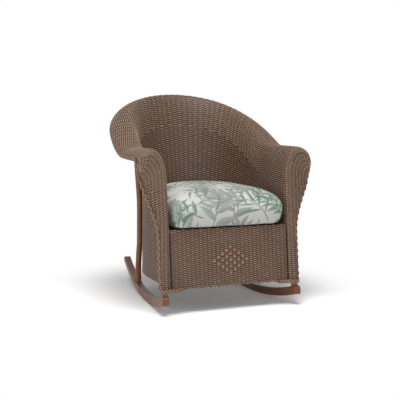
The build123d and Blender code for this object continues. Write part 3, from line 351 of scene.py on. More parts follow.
class Nodes:
    """A short way to write the nodes and links of a material or a world."""

    def __init__(self, holder):
        self.holder = holder
        self.holder.use_nodes = True
        self.tree = holder.node_tree
        self.shader = self.tree.nodes.get("Principled BSDF")

    def add(self, kind, inputs=(), **settings):
        """A new node with its inputs by name or number and its settings."""
        node = self.tree.nodes.new(kind)
        for key, value in settings.items():
            setattr(node, key, value)
        for key, value in dict(inputs).items():
            self.put(node.inputs[key], value)
        return node

    def put(self, socket, value):
        """Links a socket to another or sets its value."""
        if isinstance(value, bpy.types.NodeSocket):
            self.tree.links.new(value, socket)
        else:
            socket.default_value = value

    def coordinates(self, scale=(1, 1, 1)):
        """Object coordinates. A pattern on them is drawn out along an axis whose scale is small."""
        where = self.add("ShaderNodeTexCoord").outputs["Object"]
        return self.add("ShaderNodeMapping", {"Vector": where, "Scale": scale}).outputs["Vector"]

    def combine(self, operation, a, b):
        """Two values joined by a sum, product or maximum."""
        return self.add("ShaderNodeMath", {0: a, 1: b}, operation=operation).outputs[0]

    def wave(self, direction, scale, distortion=0.0):
        """Bands that follow each other along a direction."""
        return self.add("ShaderNodeTexWave", {"Vector": self.coordinates(), "Scale": scale,
                                              "Distortion": distortion},
                        wave_type="BANDS", bands_direction=direction).outputs["Fac"]

    def noise(self, vector, scale, detail=4.0, roughness=0.5):
        """Cloudy values about 0.5."""
        return self.add("ShaderNodeTexNoise", {"Vector": vector, "Scale": scale, "Detail": detail,
                                               "Roughness": roughness}).outputs["Fac"]

    def ramp(self, value, stops):
        """Colours by value, each stop a place and a colour."""
        node = self.add("ShaderNodeValToRGB", {"Fac": value})
        ramp = node.color_ramp
        while len(ramp.elements) < len(stops):
            ramp.elements.new(0.5)
        for element, (place, colour) in zip(ramp.elements, stops):
            element.position = place
            element.color = colour
        return node.outputs["Color"]

    def greys(self, value, *stops):
        """A ramp of greys, each stop a place and a level."""
        return self.ramp(value, [(place, (level, level, level, 1.0)) for place, level in stops])

    def mix(self, factor, a, b, blend="MIX"):
        """Colour a turned into colour b by a factor."""
        node = self.add("ShaderNodeMix", data_type="RGBA", blend_type=blend)
        self.put(node.inputs[0], factor)
        self.put(node.inputs[6], a)
        self.put(node.inputs[7], b)
        return node.outputs[2]

    def bump(self, height, distance, strength):
        """Fine relief, with its depth in metres."""
        node = self.add("ShaderNodeBump", {"Height": height, "Distance": distance,
                                           "Strength": strength})
        self.put(self.shader.inputs["Normal"], node.outputs["Normal"])

    def finish(self, colour, roughness, specular, sheen=0.0):
        """Sets the surface and gives the material."""
        self.put(self.shader.inputs["Base Color"], colour)
        self.put(self.shader.inputs["Roughness"], roughness)
        self.shader.inputs["Specular IOR Level"].default_value = specular
        self.shader.inputs["Sheen Weight"].default_value = sheen
        return self.holder

    def white_to_eye(self):
        """1 for the rays that see plain white: from the camera, from gloss and through glass."""
        path = self.add("ShaderNodeLightPath").outputs
        seen = self.combine("MAXIMUM", path["Is Camera Ray"], path["Is Glossy Ray"])
        return self.combine("MAXIMUM", seen, path["Is Transmission Ray"])


def new_finish(name):
    """Nodes of a new material."""
    return Nodes(bpy.data.materials.new(name))


def shade(colour, factor):
    """A colour made lighter or darker by a factor."""
    return (*(min(1.0, c * factor) for c in colour[:3]), 1.0)


def strand_material(name, colour):
    """Round twisted strand: painted shade where it dips into the weave and along its sides, a painted
    highlight on its crests, its colour drifting a little from one length to the next, with fine
    fibres."""
    n = new_finish(name)
    drift = n.noise(n.coordinates(), 55.0, 3.0, 0.6)
    fibre = n.noise(n.coordinates((1.0, 1.0, 3.5)), 520.0, 3.0, 0.6)
    broad = n.noise(n.coordinates(), 5.0, 2.0, 0.5)
    lift = n.add("ShaderNodeAttribute", attribute_name="lift").outputs["Fac"]
    depth = n.add("ShaderNodeMapRange", {"Value": lift, "From Min": -0.9}).outputs[0]
    base = n.ramp(drift, [(0.28, shade(colour, 0.78)), (0.5, colour), (0.72, shade(colour, 1.24))])
    # painted shade and highlight: darker than the strand where the lift is low, lit past its own
    # colour where it is high; pieces with no lift, the stakes and the cores, take the darker middle
    # as painted shade
    weave_shade_and_highlight = n.ramp(depth, [(0.05, (0.14, 0.11, 0.09, 1)), (0.48, (0.44, 0.37, 0.32, 1)),
                          (0.68, (1.0, 0.93, 0.88, 1)), (0.95, (2.1, 2.06, 2.02, 1))])
    base = n.mix(1.0, base, weave_shade_and_highlight, "MULTIPLY")
    base = n.mix(n.greys(fibre, (0.35, 0.3), (0.65, 0.0)), base, shade(colour, 0.45))
    base = n.mix(n.greys(broad, (0.35, 0.0), (0.7, 0.15)), base, shade(colour, 1.3))
    n.bump(fibre, 0.0006, 0.6)
    return n.finish(base, 0.46, 0.5, 0.08)


def wood_material(name, colour, axis):
    """Stained wood: long grain lines along one axis, slow bands and small dark pores, varnished."""
    n = new_finish(name)
    stretch = tuple(0.07 if i == axis else 1.0 for i in range(3))
    grain = n.noise(n.coordinates(stretch), 210.0, 5.0, 0.62)
    band = n.noise(n.coordinates(stretch), 38.0, 3.0, 0.5)
    base = n.ramp(grain, [(0.3, shade(colour, 0.5)), (0.52, colour), (0.75, shade(colour, 1.45))])
    base = n.mix(n.greys(band, (0.35, 0.0), (0.65, 0.55)), base, shade(colour, 0.62))
    n.bump(grain, 0.0004, 0.5)
    n.shader.inputs["Coat Weight"].default_value = 0.12
    n.shader.inputs["Coat Roughness"].default_value = 0.22
    return n.finish(base, 0.45, 0.3)


def strap_material(name, colour):
    """Strap webbing: fine diagonal ribs with faint lighter spots."""
    n = new_finish(name)
    ribs = n.wave("DIAGONAL", 180.0, 1.0)
    spots = n.noise(n.coordinates(), 60.0)
    base = n.ramp(ribs, [(0.3, shade(colour, 0.6)), (0.7, shade(colour, 1.25))])
    base = n.mix(n.greys(spots, (0.4, 0.0), (0.6, 0.3)), base, colour)
    n.bump(ribs, 0.0006, 0.8)
    return n.finish(base, 0.85, 0.2, 0.1)


def steel_material(name):
    """Zinc-plated steel with faint blotches."""
    n = new_finish(name)
    spots = n.noise(n.coordinates(), 90.0)
    base = n.ramp(spots, [(0.3, (0.42, 0.43, 0.42, 1)), (0.7, (0.62, 0.62, 0.58, 1))])
    n.shader.inputs["Metallic"].default_value = 1.0
    n.bump(spots, 0.0002, 0.3)
    return n.finish(base, 0.38, 0.5)


def cloth_material(name):
    """Printed cotton: the print is a colour attribute, the plain weave crossing fine waves."""
    n = new_finish(name)
    printed = n.add("ShaderNodeAttribute", attribute_name="leaf_print").outputs["Color"]
    across, down, up = (n.wave(direction, 260.0) for direction in "XYZ")
    threads = n.combine("ADD", n.combine("MULTIPLY", across, down), up)
    slub = n.noise(n.coordinates(), 45.0, 4.0, 0.6)
    base = n.mix(n.greys(slub, (0.3, 0.0), (0.75, 0.1)), printed, (0.55, 0.55, 0.53, 1))
    n.bump(threads, 0.0003, 0.35)
    return n.finish(base, 0.88, 0.2, 0.15)


def give(piece, material, body="chair"):
    """Puts a finished material on a piece and lets it ride on its body."""
    piece.data.materials.clear()
    piece.data.materials.append(material)
    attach(piece, body)
    return piece


# ------------------------------------------------------------------ settings a user would change
def length_setting(name, description, millimetres):
    """A length that is given here in mm and kept in metres."""
    return bpy.props.FloatProperty(name=name, description=description, default=millimetres / 1000.0,
                                   min=0.0001, precision=5, unit="LENGTH", subtype="DISTANCE")


def colour_setting(name, description, default):
    """A colour, as the linear values that sockets take."""
    return bpy.props.FloatVectorProperty(name=name, description=description, default=default[:3],
                                         size=3, min=0.0, max=1.0, subtype="COLOR")


class RockerWeave(bpy.types.PropertyGroup):
    """Sizes of the weave and the braids."""
    weft_pitch: length_setting("Weft pitch", "Height of one row of weft", 4.6)
    stake_count: bpy.props.IntProperty(name="Stakes", description="Stakes round the tub",
                                       default=76, min=20, max=120)
    weft_swing: length_setting("Weft swing", "How far a weft swings either side of the sheet", 2.2)
    weft_thick: length_setting("Weft thickness", "Half the thickness of a weft strand", 1.55)
    stake_thick: length_setting("Stake thickness", "Half the thickness of a stake", 1.9)
    braid_lobe: length_setting("Braid lobe", "Length of one lobe of the edge braid", 28.0)


class RockerColours(bpy.types.PropertyGroup):
    """Colours of the chair's finishes."""
    strand: colour_setting("Strand", "Woven strands", linear((121, 94, 73)))
    # the stakes are darker than the strands as painted shade under the wefts
    stake: colour_setting("Stake", "Upright strands under the weft", linear((76, 54, 39)))
    # the dark core is painted shade inside the weave
    shadow: colour_setting("Inside of the weave", "Dark core behind the strands", linear((20, 13, 9)))
    rocker: colour_setting("Rocker wood", "Stained wood of the rockers", linear((110, 68, 42)))
    leg: colour_setting("Leg wood", "Stained wood of the legs", linear((124, 78, 46)))
    frame: colour_setting("Frame wood", "Hidden frame", linear((118, 84, 58)))
    strap: colour_setting("Strap webbing", "Straps under the cushion", linear((112, 98, 80)))
    ground: colour_setting("Cushion ground", "Cloth between the leaves", linear((180, 181, 175)))
    grey_leaf: colour_setting("Grey leaf", "Broad grey leaves", linear((132, 134, 130)))
    green_leaf: colour_setting("Green leaf", "Sage green leaves", linear((84, 116, 94)))
    straw_leaf: colour_setting("Straw accent", "Pale yellow accents", linear((214, 212, 168)))


def four(value):
    """A colour with the full alpha that sockets take."""
    return (*value, 1.0)


def weft_sizes(weave):
    """Pitch of the rows, and the swing and half thickness of a weft, in mm."""
    return [1000.0 * size for size in (weave.weft_pitch, weave.weft_swing, weave.weft_thick)]


def strand_finishes(tones, strand, stake, shadow):
    """Finishes of a woven sheet: its wefts, its stakes and the painted shade between them."""
    return (strand_material(strand, four(tones.strand)), strand_material(stake, four(tones.stake)),
            strand_material(shadow, four(tones.shadow)))


# ------------------------------------------------------------------ weave of the tub
SAMPLES = 4                  # from one stake to the next
NOSE_SAMPLES = 30            # round each nose
NOSE_STAKES = 6              # the most that a nose has room for
WALL_SAMPLES, ROLL_SAMPLES = 60, 40  # up the wall and over the roll
TUB_LENGTH = 1512.0          # round the tub in plan, from nose to nose
ROLL_LENGTH = 245.0          # over the roll, from the wall to the braid
CROWDED_PITCH = 2.8          # rows closer than this are worked in pairs
FULL_SWING_PITCH = 4.2       # rows closer than this swing less
STAKE_HALF_WIDTH = 2.3
BRAID_SHADE = 1.6            # how deep the ends of the rows lie in the shadow of the braid
BRAID_SHADE_REACH = 4.0
SEAM_SWING = 0.4             # share of the swing in the row along the foot of the roll
CORE_HALF = 0.35             # half the thickness of the dark sheet of painted shade between the strands


def wall_top(w):
    """Height at which the roll begins."""
    return crest_height(w) - roll_rise(w)


def wall_rows(pitch, w):
    """v of level rows from the hem to the top of the back's wall, where each row exists, and how
    many of them are as low as the arms.

    A row stops where it meets the roll, so the rows above the arms are short ones in the back.
    """
    tall = float(wall_top(np.ones(1))[0]) - HEM_Z
    arm = ARM_CREST_Z - ARM_ROLL_RISE - HEM_Z
    step = arm / round(arm / pitch)
    heights = (np.arange(int(tall / step)) + 0.5) * step
    v = heights[:, None] / (wall_top(w) - HEM_Z)[None, :]
    return np.minimum(v, 1.0), v < 1.0, int(round(arm / step))


def stake_places(count):
    """u for even steps by length round the tub's plan, SAMPLES of them to each stake interval."""
    fine = np.linspace(-1, 1, 2001)
    x, y = plan(fine)[:2]
    index = even_steps(np.stack([x, y], -1), count * SAMPLES + 1, 0, offset=0)
    return pick(fine, index, 0)


def roll_v(u, rows):
    """v of rows that share the roll evenly from the wall to the braid, at each u."""
    end = end_of_sheet(1 - np.abs(u))
    grid = 1 + (end - 1) * np.linspace(0, 1, 61)[:, None]
    index = even_steps(tub(u[None, :], grid), rows, 0)
    return pick(grid, index, 0)


def sheet_rows(v, u):
    """Good-face points of rows of given v over the whole sheet: left nose, tub, right nose.

    Also gives how far round the left and the right nose their samples lie from the tub.
    """
    middle = tub(u[None, :], v)
    sides = []
    for side, edge in ((-1, v[:, 0]), (1, v[:, -1])):
        fine = np.linspace(0, 3, 121)[None, :]
        points = nose(side, edge[:, None], fine)
        index = even_steps(points, NOSE_SAMPLES, 1, offset=0)
        points = pick(points, index, 1)
        run = np.concatenate([np.zeros((len(v), 1)),
                              np.cumsum(np.linalg.norm(np.diff(points, axis=1), axis=-1), 1)], 1)
        sides.append((points, run))
    (left, left_run), (right, right_run) = sides
    points = np.concatenate([left[:, :0:-1], middle, right[:, 1:]], 1)
    return points, left_run[:, :0:-1], right_run[:, 1:]


def stake_numbers(u, left_run, right_run, count):
    """Stake coordinate of every sample of sheet_rows: whole numbers are stakes, 0 the middle of the
    back, and half the number of stakes the inner edge of each nose."""
    pitch = TUB_LENGTH / count
    middle = np.broadcast_to(np.arange(len(u)) / SAMPLES - count / 2, (len(left_run), len(u)))
    return np.concatenate([-count / 2 - left_run / pitch, middle, count / 2 + right_run / pitch], 1)


def hidden_middle(points, normals):
    """Middle of the sheet's thickness, from its good face."""
    return points - normals * SHEET / 2


def weft_rings(points, normals, stake, row_number, local_pitch, swing, thick):
    """Wefts that pass over one stake and under the next: the swing follows the cosine of the stake
    coordinate and changes over from row to row. Where rows crowd, two lie together as one.

    Gives the rings and the swing as a share.
    """
    row_number = np.broadcast_to(row_number[:, None], stake.shape)
    row_number = np.where(local_pitch < CROWDED_PITCH, row_number // 2, row_number)
    wave = np.cos(math.pi * stake) * (1 - 2 * (row_number % 2))
    swing = swing * np.clip(local_pitch / FULL_SWING_PITCH, 0.5, 1.0)
    path = points + normals * (wave * swing)[..., None]
    half_width = np.clip(0.46 * local_pitch, 1.2, 2.4)
    return tube_rings(path, normals, thick, half_width, 5), wave


def row_gaps(points):
    """Distance from each row to its neighbours, at every sample."""
    return np.linalg.norm(np.gradient(points, axis=0), axis=-1)


def whole_rows(weave, u, v):
    """Wefts that run from nose to nose. Also gives the middle of the sheet on these rows, its
    normals and the stake coordinate."""
    swing, thick = weft_sizes(weave)[1:]
    points, left_run, right_run = sheet_rows(v, u)
    normals = grid_normals(points)
    stake = stake_numbers(u, left_run, right_run, weave.stake_count)
    middle = hidden_middle(points, normals)
    rings, lift = weft_rings(middle, normals, stake, np.arange(len(v)), row_gaps(points), swing,
                             thick)
    # how far each sample lies from the braid at the end of its row
    clear = np.full((len(v), len(u)), 99.0)
    clear = np.concatenate([left_run[:, :1] - left_run, clear, right_run[:, -1:] - right_run], 1)
    # painted shadow of the braid on the ends of the rows
    lift = lift - BRAID_SHADE * np.exp(-clear / BRAID_SHADE_REACH)
    names = ("skirt_wefts", "arm_wefts", "inner_roll_wefts", "outer_roll_wefts")
    parts = np.array_split(np.arange(len(v)), len(names))
    pieces = [tubes(name, rings[part], lift=lift[part]) for name, part in zip(names, parts)]
    return pieces, middle, normals, stake


def short_rows(weave, u, wall_v, exists, arm_rows):
    """Wefts of the back's wall above the arms, and one along the foot of the roll that lies over
    their ends."""
    pitch, swing, thick = weft_sizes(weave)
    facing = grid_normals(tub(u[None, :], wall_v))[arm_rows:]
    kept = exists[arm_rows:]
    stake = np.broadcast_to(np.arange(len(u)) / SAMPLES - weave.stake_count / 2, kept.shape)
    middle = hidden_middle(tub(u[None, :], wall_v[arm_rows:]), facing)
    rings, lift = weft_rings(middle, facing, stake, arm_rows + np.arange(len(kept)),
                             np.full(kept.shape, pitch), swing, thick)
    kept = kept & (np.roll(kept, 1, 1) | np.roll(kept, -1, 1))
    back = tubes("back_wefts", rings, kept, lift)
    seam = np.stack([tub(u, np.full(u.shape, rise)) for rise in (0.99, 1.0, 1.01)])
    facing = grid_normals(seam)[1:2]
    rings, lift = weft_rings(hidden_middle(seam[1:2], facing), facing, stake[:1], np.ones(1, int),
                             np.full((1, len(u)), pitch), SEAM_SWING * swing, thick)
    return [back, tubes("seam_weft", rings, kept[:1], lift)]


def stake_tubes(name, weave, lines, facing, keep=None):
    """Stakes along lines, wider in the sheet than they are thick."""
    thick = 1000.0 * weave.stake_thick
    return tubes(name, tube_rings(lines, facing, thick, STAKE_HALF_WIDTH, 6), keep)


def tub_stakes(weave, u, ladder):
    """Stakes of the tub, one on each whole stake number."""
    columns = np.arange(weave.stake_count + 1) * SAMPLES
    sheet = tub(u[None, :], ladder)
    facing = grid_normals(sheet)
    lines = hidden_middle(sheet, facing)[:, columns].transpose(1, 0, 2)
    return stake_tubes("tub_stakes", weave, lines, facing[:, columns].transpose(1, 0, 2))


def nose_stakes(name, weave, side, middle, normals, stake):
    """Stakes of a nose. Each one starts at the braid, where the nose becomes wide enough for it."""
    block = slice(NOSE_SAMPLES - 1, None, -1) if side < 0 else slice(-NOSE_SAMPLES, None)
    line, around, place = middle[:, block], normals[:, block], np.abs(stake[:, block])
    wanted = weave.stake_count // 2 + 1 + np.arange(NOSE_STAKES)
    index = (place[:, None, :] <= wanted[None, :, None]).sum(2) - 1
    exists = index < NOSE_SAMPLES - 1
    index = np.clip(index, 0, NOSE_SAMPLES - 2)
    low = np.take_along_axis(place, index, 1)
    high = np.take_along_axis(place, index + 1, 1)
    at = index + (wanted[None, :] - low) / (high - low)
    lines = pick(line, at, 1)[::2].transpose(1, 0, 2)
    facing = unit(pick(around, at, 1))[::2].transpose(1, 0, 2)
    exists = exists[::2].T
    exists = exists & (np.roll(exists, 1, 1) | np.roll(exists, -1, 1))
    return stake_tubes(name, weave, lines, facing, exists)


def weave_core(u, ladder):
    """The dark sheet of painted shade that shows between the strands."""
    points = sheet_rows(ladder, u)[0]
    normals = grid_normals(points)
    middle, facing = hidden_middle(points, normals)[:, ::2], normals[:, ::2]
    return closed_sheet("weave_core", middle + facing * CORE_HALF, middle - facing * CORE_HALF)


def make_tub_weave(weave, strand, stake_finish, core):
    """Every strand of the tub, its noses and its roll, over a thin dark core of painted shade."""
    pitch = weft_sizes(weave)[0]
    u = stake_places(weave.stake_count)
    w = 1 - np.abs(u)
    wall_v, exists, arm_rows = wall_rows(pitch, w)
    # the wall as high as the arms, then the roll
    v = np.concatenate([wall_v[:arm_rows], roll_v(u, round(ROLL_LENGTH / pitch))])
    wefts, middle, normals, stake = whole_rows(weave, u, v)
    for piece in wefts + short_rows(weave, u, wall_v, exists, arm_rows):
        give(piece, strand)
    wall = np.tile(np.linspace(0, 1, WALL_SAMPLES, endpoint=False)[:, None], len(u))
    roll = 1 + np.linspace(0, 1, ROLL_SAMPLES)[:, None] * (end_of_sheet(w) - 1)
    ladder = np.concatenate([wall, roll])
    pieces = [tub_stakes(weave, u, ladder)]
    for side, name in ((-1, "left_nose_stakes"), (1, "right_nose_stakes")):
        pieces.append(nose_stakes(name, weave, side, middle, normals, stake))
    for piece in pieces:
        give(piece, stake_finish)
    piece = weave_core(u, ladder)
    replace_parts(give(piece, core), "woven_body")


# ------------------------------------------------------------------ braids
EDGE_STRANDS = (4.9, 2.9, 3.2)       # sideways swing, outward swing and radius of a strand
HEM_STRANDS = (5.8, 2.6, 3.5)
HEM_LOBE = 15.0
BRAID_STEP, HEM_BRAID_STEP = 3.2, 2.4
BRAID_CORNER = 26.0                  # the edge braid turns over the tip of the arm in this length
PROUD_SIDE, PROUD_FRONT = 4.5, 5.0   # it stands out from the nose by this much
PROUD_END, PROUD_FADE = 520.0, 70.0  # up to this height, and sinks back over this rise
HEM_BRAID_REACH = 44.0               # the hem braid begins this far in from the panel's end
MIRROR = np.array([-1.0, 1.0, 1.0])


def braid(name, path, outward, lobe, half_width, half_depth, radius):
    """Three strands plaited along a path: strand k swings sideways by cos(t + 2k pi/3) and outwards
    by sin(2t + 4k pi/3), where t grows by 2 pi over three lobes."""
    direction = unit(np.gradient(path, axis=0))
    outward = unit(outward - direction * (outward * direction).sum(-1, keepdims=True))
    sideways = np.cross(direction, outward)
    run = np.concatenate([[0], np.cumsum(np.linalg.norm(np.diff(path, axis=0), axis=1))])
    turn = 2 * math.pi * (run[None, :] / (3 * lobe) + np.arange(3)[:, None] / 3)
    strands = (path[None] + sideways[None] * (half_width * np.cos(turn))[..., None]
               + outward[None] * (half_depth * np.sin(2 * turn))[..., None])
    normals = np.broadcast_to(outward, strands.shape)
    rings = tube_rings(strands, normals, radius * 0.85, radius * 1.05, 7)
    # painted shade and highlight: each lobe lighter where it rises, each strand dark along its sides
    return tubes(name, rings, lift=0.2 + 0.5 * np.sin(2 * turn), shadow=1.0)


def even_path(points, step):
    """A smooth path through points in even steps: Catmull-Rom between them, then shared by length."""
    p = np.concatenate([2 * points[:1] - points[1:2], points, 2 * points[-1:] - points[-2:-1]])
    t = np.linspace(0, 1, 24, endpoint=False)[None, :, None]
    a, b, c, d = (p[i:len(p) - 3 + i, None, :] for i in range(4))
    fine = 0.5 * (2 * b + (c - a) * t + (2 * a - 5 * b + 4 * c - d) * t ** 2
                  + (3 * b - a - 3 * c + d) * t ** 3)
    fine = np.concatenate([fine.reshape(-1, points.shape[1]), points[-1:]])
    total = np.linalg.norm(np.diff(fine[:, :3], axis=0), axis=1).sum()
    index = even_steps(fine[:, :3], int(total / step), 0, offset=0)
    low = np.clip(np.floor(index).astype(int), 0, len(fine) - 2)
    return fine[low] + (fine[low + 1] - fine[low]) * (index - low)[:, None]


def edge_path():
    """Middle of the edge braid with its outward direction: up the left nose, round the rim, down
    the right nose."""
    z = np.array([HEM_Z, HEM_Z + 60, 220, NOSE_FLARE_START_Z, 370, 420, 470, 520, 565, 600])
    back = NOSE_OUTER_RADIUS + BRAID_SEAT
    proud = 1 - smooth((z - PROUD_END) / PROUD_FADE)
    left = np.stack([-(nose_side_x(z) - SHEET / 2) - PROUD_SIDE * proud,
                     NOSE_Y + (z - LEAN_PIVOT_Z) * TAN_LEAN + back - PROUD_FRONT * proud, z], -1)
    first = 1 - BRAID_CORNER / ARM_LENGTH * ARM_SHARE
    u = np.linspace(-first, first, 75)
    out_x, out_y = plan(u)[2:4]
    out = np.stack([out_x, out_y, np.zeros_like(u)], -1)
    rim = tub(u, np.full(u.shape, 3.0)) - out * SHEET / 2
    side = np.stack([-np.ones_like(z), -1.1 * proud, np.zeros_like(z)], -1)
    points = np.concatenate([left, rim, left[::-1] * MIRROR])
    outward = np.concatenate([side, out, side * MIRROR])
    path = even_path(np.concatenate([points, outward], 1), BRAID_STEP)
    return path[:, :3], path[:, 3:]


def hem_path():
    """Middle of the left hem braid with its outward direction, along the panel and the nose."""
    lean = (HEM_Z - LEAN_PIVOT_Z) * TAN_LEAN
    nose_y = NOSE_Y + lean - HEM_BRAID_RADIUS - CLEAR
    panel_y = nose_y + PANEL_SETBACK / COS_LEAN
    begin, side = PANEL_HALF_WIDTH - HEM_BRAID_REACH, NOSE_HALF_WIDTH - 1.0
    points = np.array([
        (-begin, panel_y, HEM_Z, 0, -1, 0),
        (-begin - 22.0, panel_y - 1, HEM_Z, 0, -1, 0),
        (-INSIDE_HALF_WIDTH - 6.0, nose_y - 1, HEM_Z, 0, -1, 0),
        (-NOSE_HALF_WIDTH + 9.0, nose_y, HEM_Z, 0, -1, 0),
        (-side + 1, nose_y + HEM_BRAID_RADIUS + 4, HEM_Z, -1, -0.3, 0),
        (-side, nose_y + NOSE_OUTER_RADIUS + 1, HEM_Z, -1, 0, 0)])
    path = even_path(points, HEM_BRAID_STEP)
    return path[:, :3], path[:, 3:]


# ------------------------------------------------------------------ front panel
PANEL_GROOVE = 3.6           # groove between each end of the panel's weave and the arm, dark with the painted shade of the core
TOP_ROWS_DROP = 3.0          # the ends of the top rows bend down
STAKE_FOOT = 2.5             # the panel's stakes reach this far below the hem
KNOT_HALF_LENGTH, KNOT_SPREAD, KNOT_PROUD = 8.6, 4.0, 4.0
KNOT_THICK, KNOT_WIDE = 1.9, 2.6
DIAMOND_EDGE = 1.04          # knots are kept a little past the diamond's outline
PANEL_OUT = np.array([0.0, -COS_LEAN, SIN_LEAN])


def panel_point(x, z, proud=0.0):
    """A point of the panel's front face at x and height z, standing proud of it if asked."""
    y = (NOSE_Y + PANEL_SETBACK / COS_LEAN + (z - LEAN_PIVOT_Z) * TAN_LEAN) - proud
    return np.stack(np.broadcast_arrays(x, y, z), -1)


def hem_hang(x):
    """How far the hem of the panel hangs below its middle."""
    from_end = PANEL_HALF_WIDTH - np.abs(x)
    return PANEL_END_DROP * smooth((HANG_START - from_end) / (HANG_START - HANG_END))


def panel_rows(x, pitch):
    """Heights of the panel's rows at x. The lowest rows follow the hanging ends of the hem."""
    rows = round((PANEL_TOP_Z - HEM_Z) / pitch)
    share = (np.arange(rows) + 0.5) / rows
    drop = hem_hang(x)[None, :] * np.clip(1 - 3 * share[:, None], 0, 1)
    return HEM_Z + (PANEL_TOP_Z - HEM_Z) * share[:, None] - drop


def make_panel_weave(weave, strand, stake_finish, core):
    """Wefts and stakes of the panel over a dark core of painted shade that fills the grooves beside
    it.
    """
    pitch, swing, thick = weft_sizes(weave)
    half = PANEL_HALF_WIDTH - PANEL_GROOVE
    count = round(2 * half / DIAMOND_PITCH)
    stake = np.linspace(-count / 2, count / 2, count * SAMPLES + 1)
    x = stake * 2 * half / count
    z = panel_rows(x, pitch)
    top_rows = (np.arange(len(z)) > len(z) - 4)[:, None]
    z = z - TOP_ROWS_DROP * smooth((np.abs(x) - half + 10) / 10) * top_rows
    points = panel_point(x[None, :], z, -SHEET / 2)
    normals = np.broadcast_to(PANEL_OUT, points.shape)
    place = np.broadcast_to(stake + count / 2, z.shape)
    rings, lift = weft_rings(points, normals, place, np.arange(len(z)), np.full(z.shape, pitch),
                             swing, thick)
    give(tubes("panel_wefts", rings, lift=lift), strand)
    x = (np.arange(count + 1) - count / 2) * 2 * half / count
    foot = (HEM_Z - hem_hang(x) - STAKE_FOOT)[:, None]
    height = foot + (PANEL_TOP_Z - foot) * np.linspace(0, 1, 40)[None, :]
    lines = panel_point(x[:, None], height, -SHEET / 2)
    facing = np.broadcast_to(PANEL_OUT, lines.shape)
    give(stake_tubes("panel_stakes", weave, lines, facing), stake_finish)
    # painted shade: a dark sheet behind the panel's strands, reaching into the grooves
    x = np.linspace(-1, 1, 60) * (INSIDE_HALF_WIDTH + 3.0)
    grid = panel_point(x[None, :], panel_rows(x, 12.0), -SHEET / 2 - 0.8)
    body = closed_sheet("panel_core", grid + PANEL_OUT * 0.4, grid - PANEL_OUT * 0.4)
    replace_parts(give(body, core), "front_panel")


def make_diamond(finish):
    """Knots in staggered columns, inside a diamond on the front panel. Each is three short strands
    side by side, arched as a half ellipse."""
    columns = int(DIAMOND_HALF_WIDTH / DIAMOND_PITCH)
    rows = int(DIAMOND_HALF_HEIGHT / DIAMOND_RISE) + 1
    i, j = np.meshgrid(np.arange(-columns, columns + 1), np.arange(-rows, rows + 1))
    x = i.ravel() * DIAMOND_PITCH
    z = (j.ravel() + 0.5 * (i.ravel() % 2)) * DIAMOND_RISE
    inside = np.abs(x) / DIAMOND_HALF_WIDTH + np.abs(z) / DIAMOND_HALF_HEIGHT < DIAMOND_EDGE
    x, z = x[inside, None, None], z[inside, None, None] + DIAMOND_Z
    along = np.linspace(-1, 1, 9)[None, None, :]
    across = np.array([-1.0, 0.0, 1.0])[None, :, None]
    round_off = np.sqrt(1 - along ** 2)
    path = panel_point(x + KNOT_HALF_LENGTH * along, z + KNOT_SPREAD * across,
                       KNOT_PROUD * round_off * (1 - 0.25 * across ** 2) - 0.6)
    path = path.reshape(-1, 9, 3)
    facing = np.broadcast_to(np.array([0.0, -1.0, 0.0]), path.shape)
    taper = np.broadcast_to(0.3 + 0.7 * round_off[0], path.shape[:2])
    rings = tube_rings(path, facing, KNOT_THICK * taper, KNOT_WIDE * taper, 6)
    # painted highlight on the top of each knot's arch, painted shade at its ends
    lift = np.broadcast_to(0.1 + 0.6 * round_off[0], path.shape[:2])
    give(tubes("diamond_knots", rings, lift=lift), finish)


# ------------------------------------------------------------------ cushion
LEAF_SEED = 8
CUSHION_BOTTOM_Z = 355.9
CUSHION_TOP_Z = 522.0
CUSHION_CENTRE_Y = -3.0
CUSHION_HALF_WIDTH, CUSHION_HALF_DEPTH = 269.0, 317.0
CUSHION_WAIST = 0.42         # share of its height at which it is widest
CUSHION_SHRINK = 3.0         # the form is smaller by this before the cloth swells
CROWN_EDGE_DROP = 45.0       # the print turns down the side this far below the crown
BARREL_MARGIN = 2.8          # least room between the cushion and the wall round it
VOXEL, SWELL_LIMIT = 0.006, 0.007    # metres
PRESSURE, SWELL_FRAMES = 4.0, 20
CLOTH_PROUD = 0.003          # how far the cloth may stand past its solid, in metres
SOFT_SIDES, SOFT_ENDS = 0.008, 0.006         # it gives way to a limit over this, in metres


def cushion_outline(angle):
    """Plan of the cushion as distance from its middle: a squared-off front and a round back.
    A superellipse whose power goes from 12 at the front to 2 at the back."""
    n = 2.02 + 10 * smooth(0.25 - 0.95 * np.sin(angle))
    return ((np.abs(np.cos(angle)) / CUSHION_HALF_WIDTH) ** n
            + (np.abs(np.sin(angle)) / CUSHION_HALF_DEPTH) ** n) ** (-1 / n)


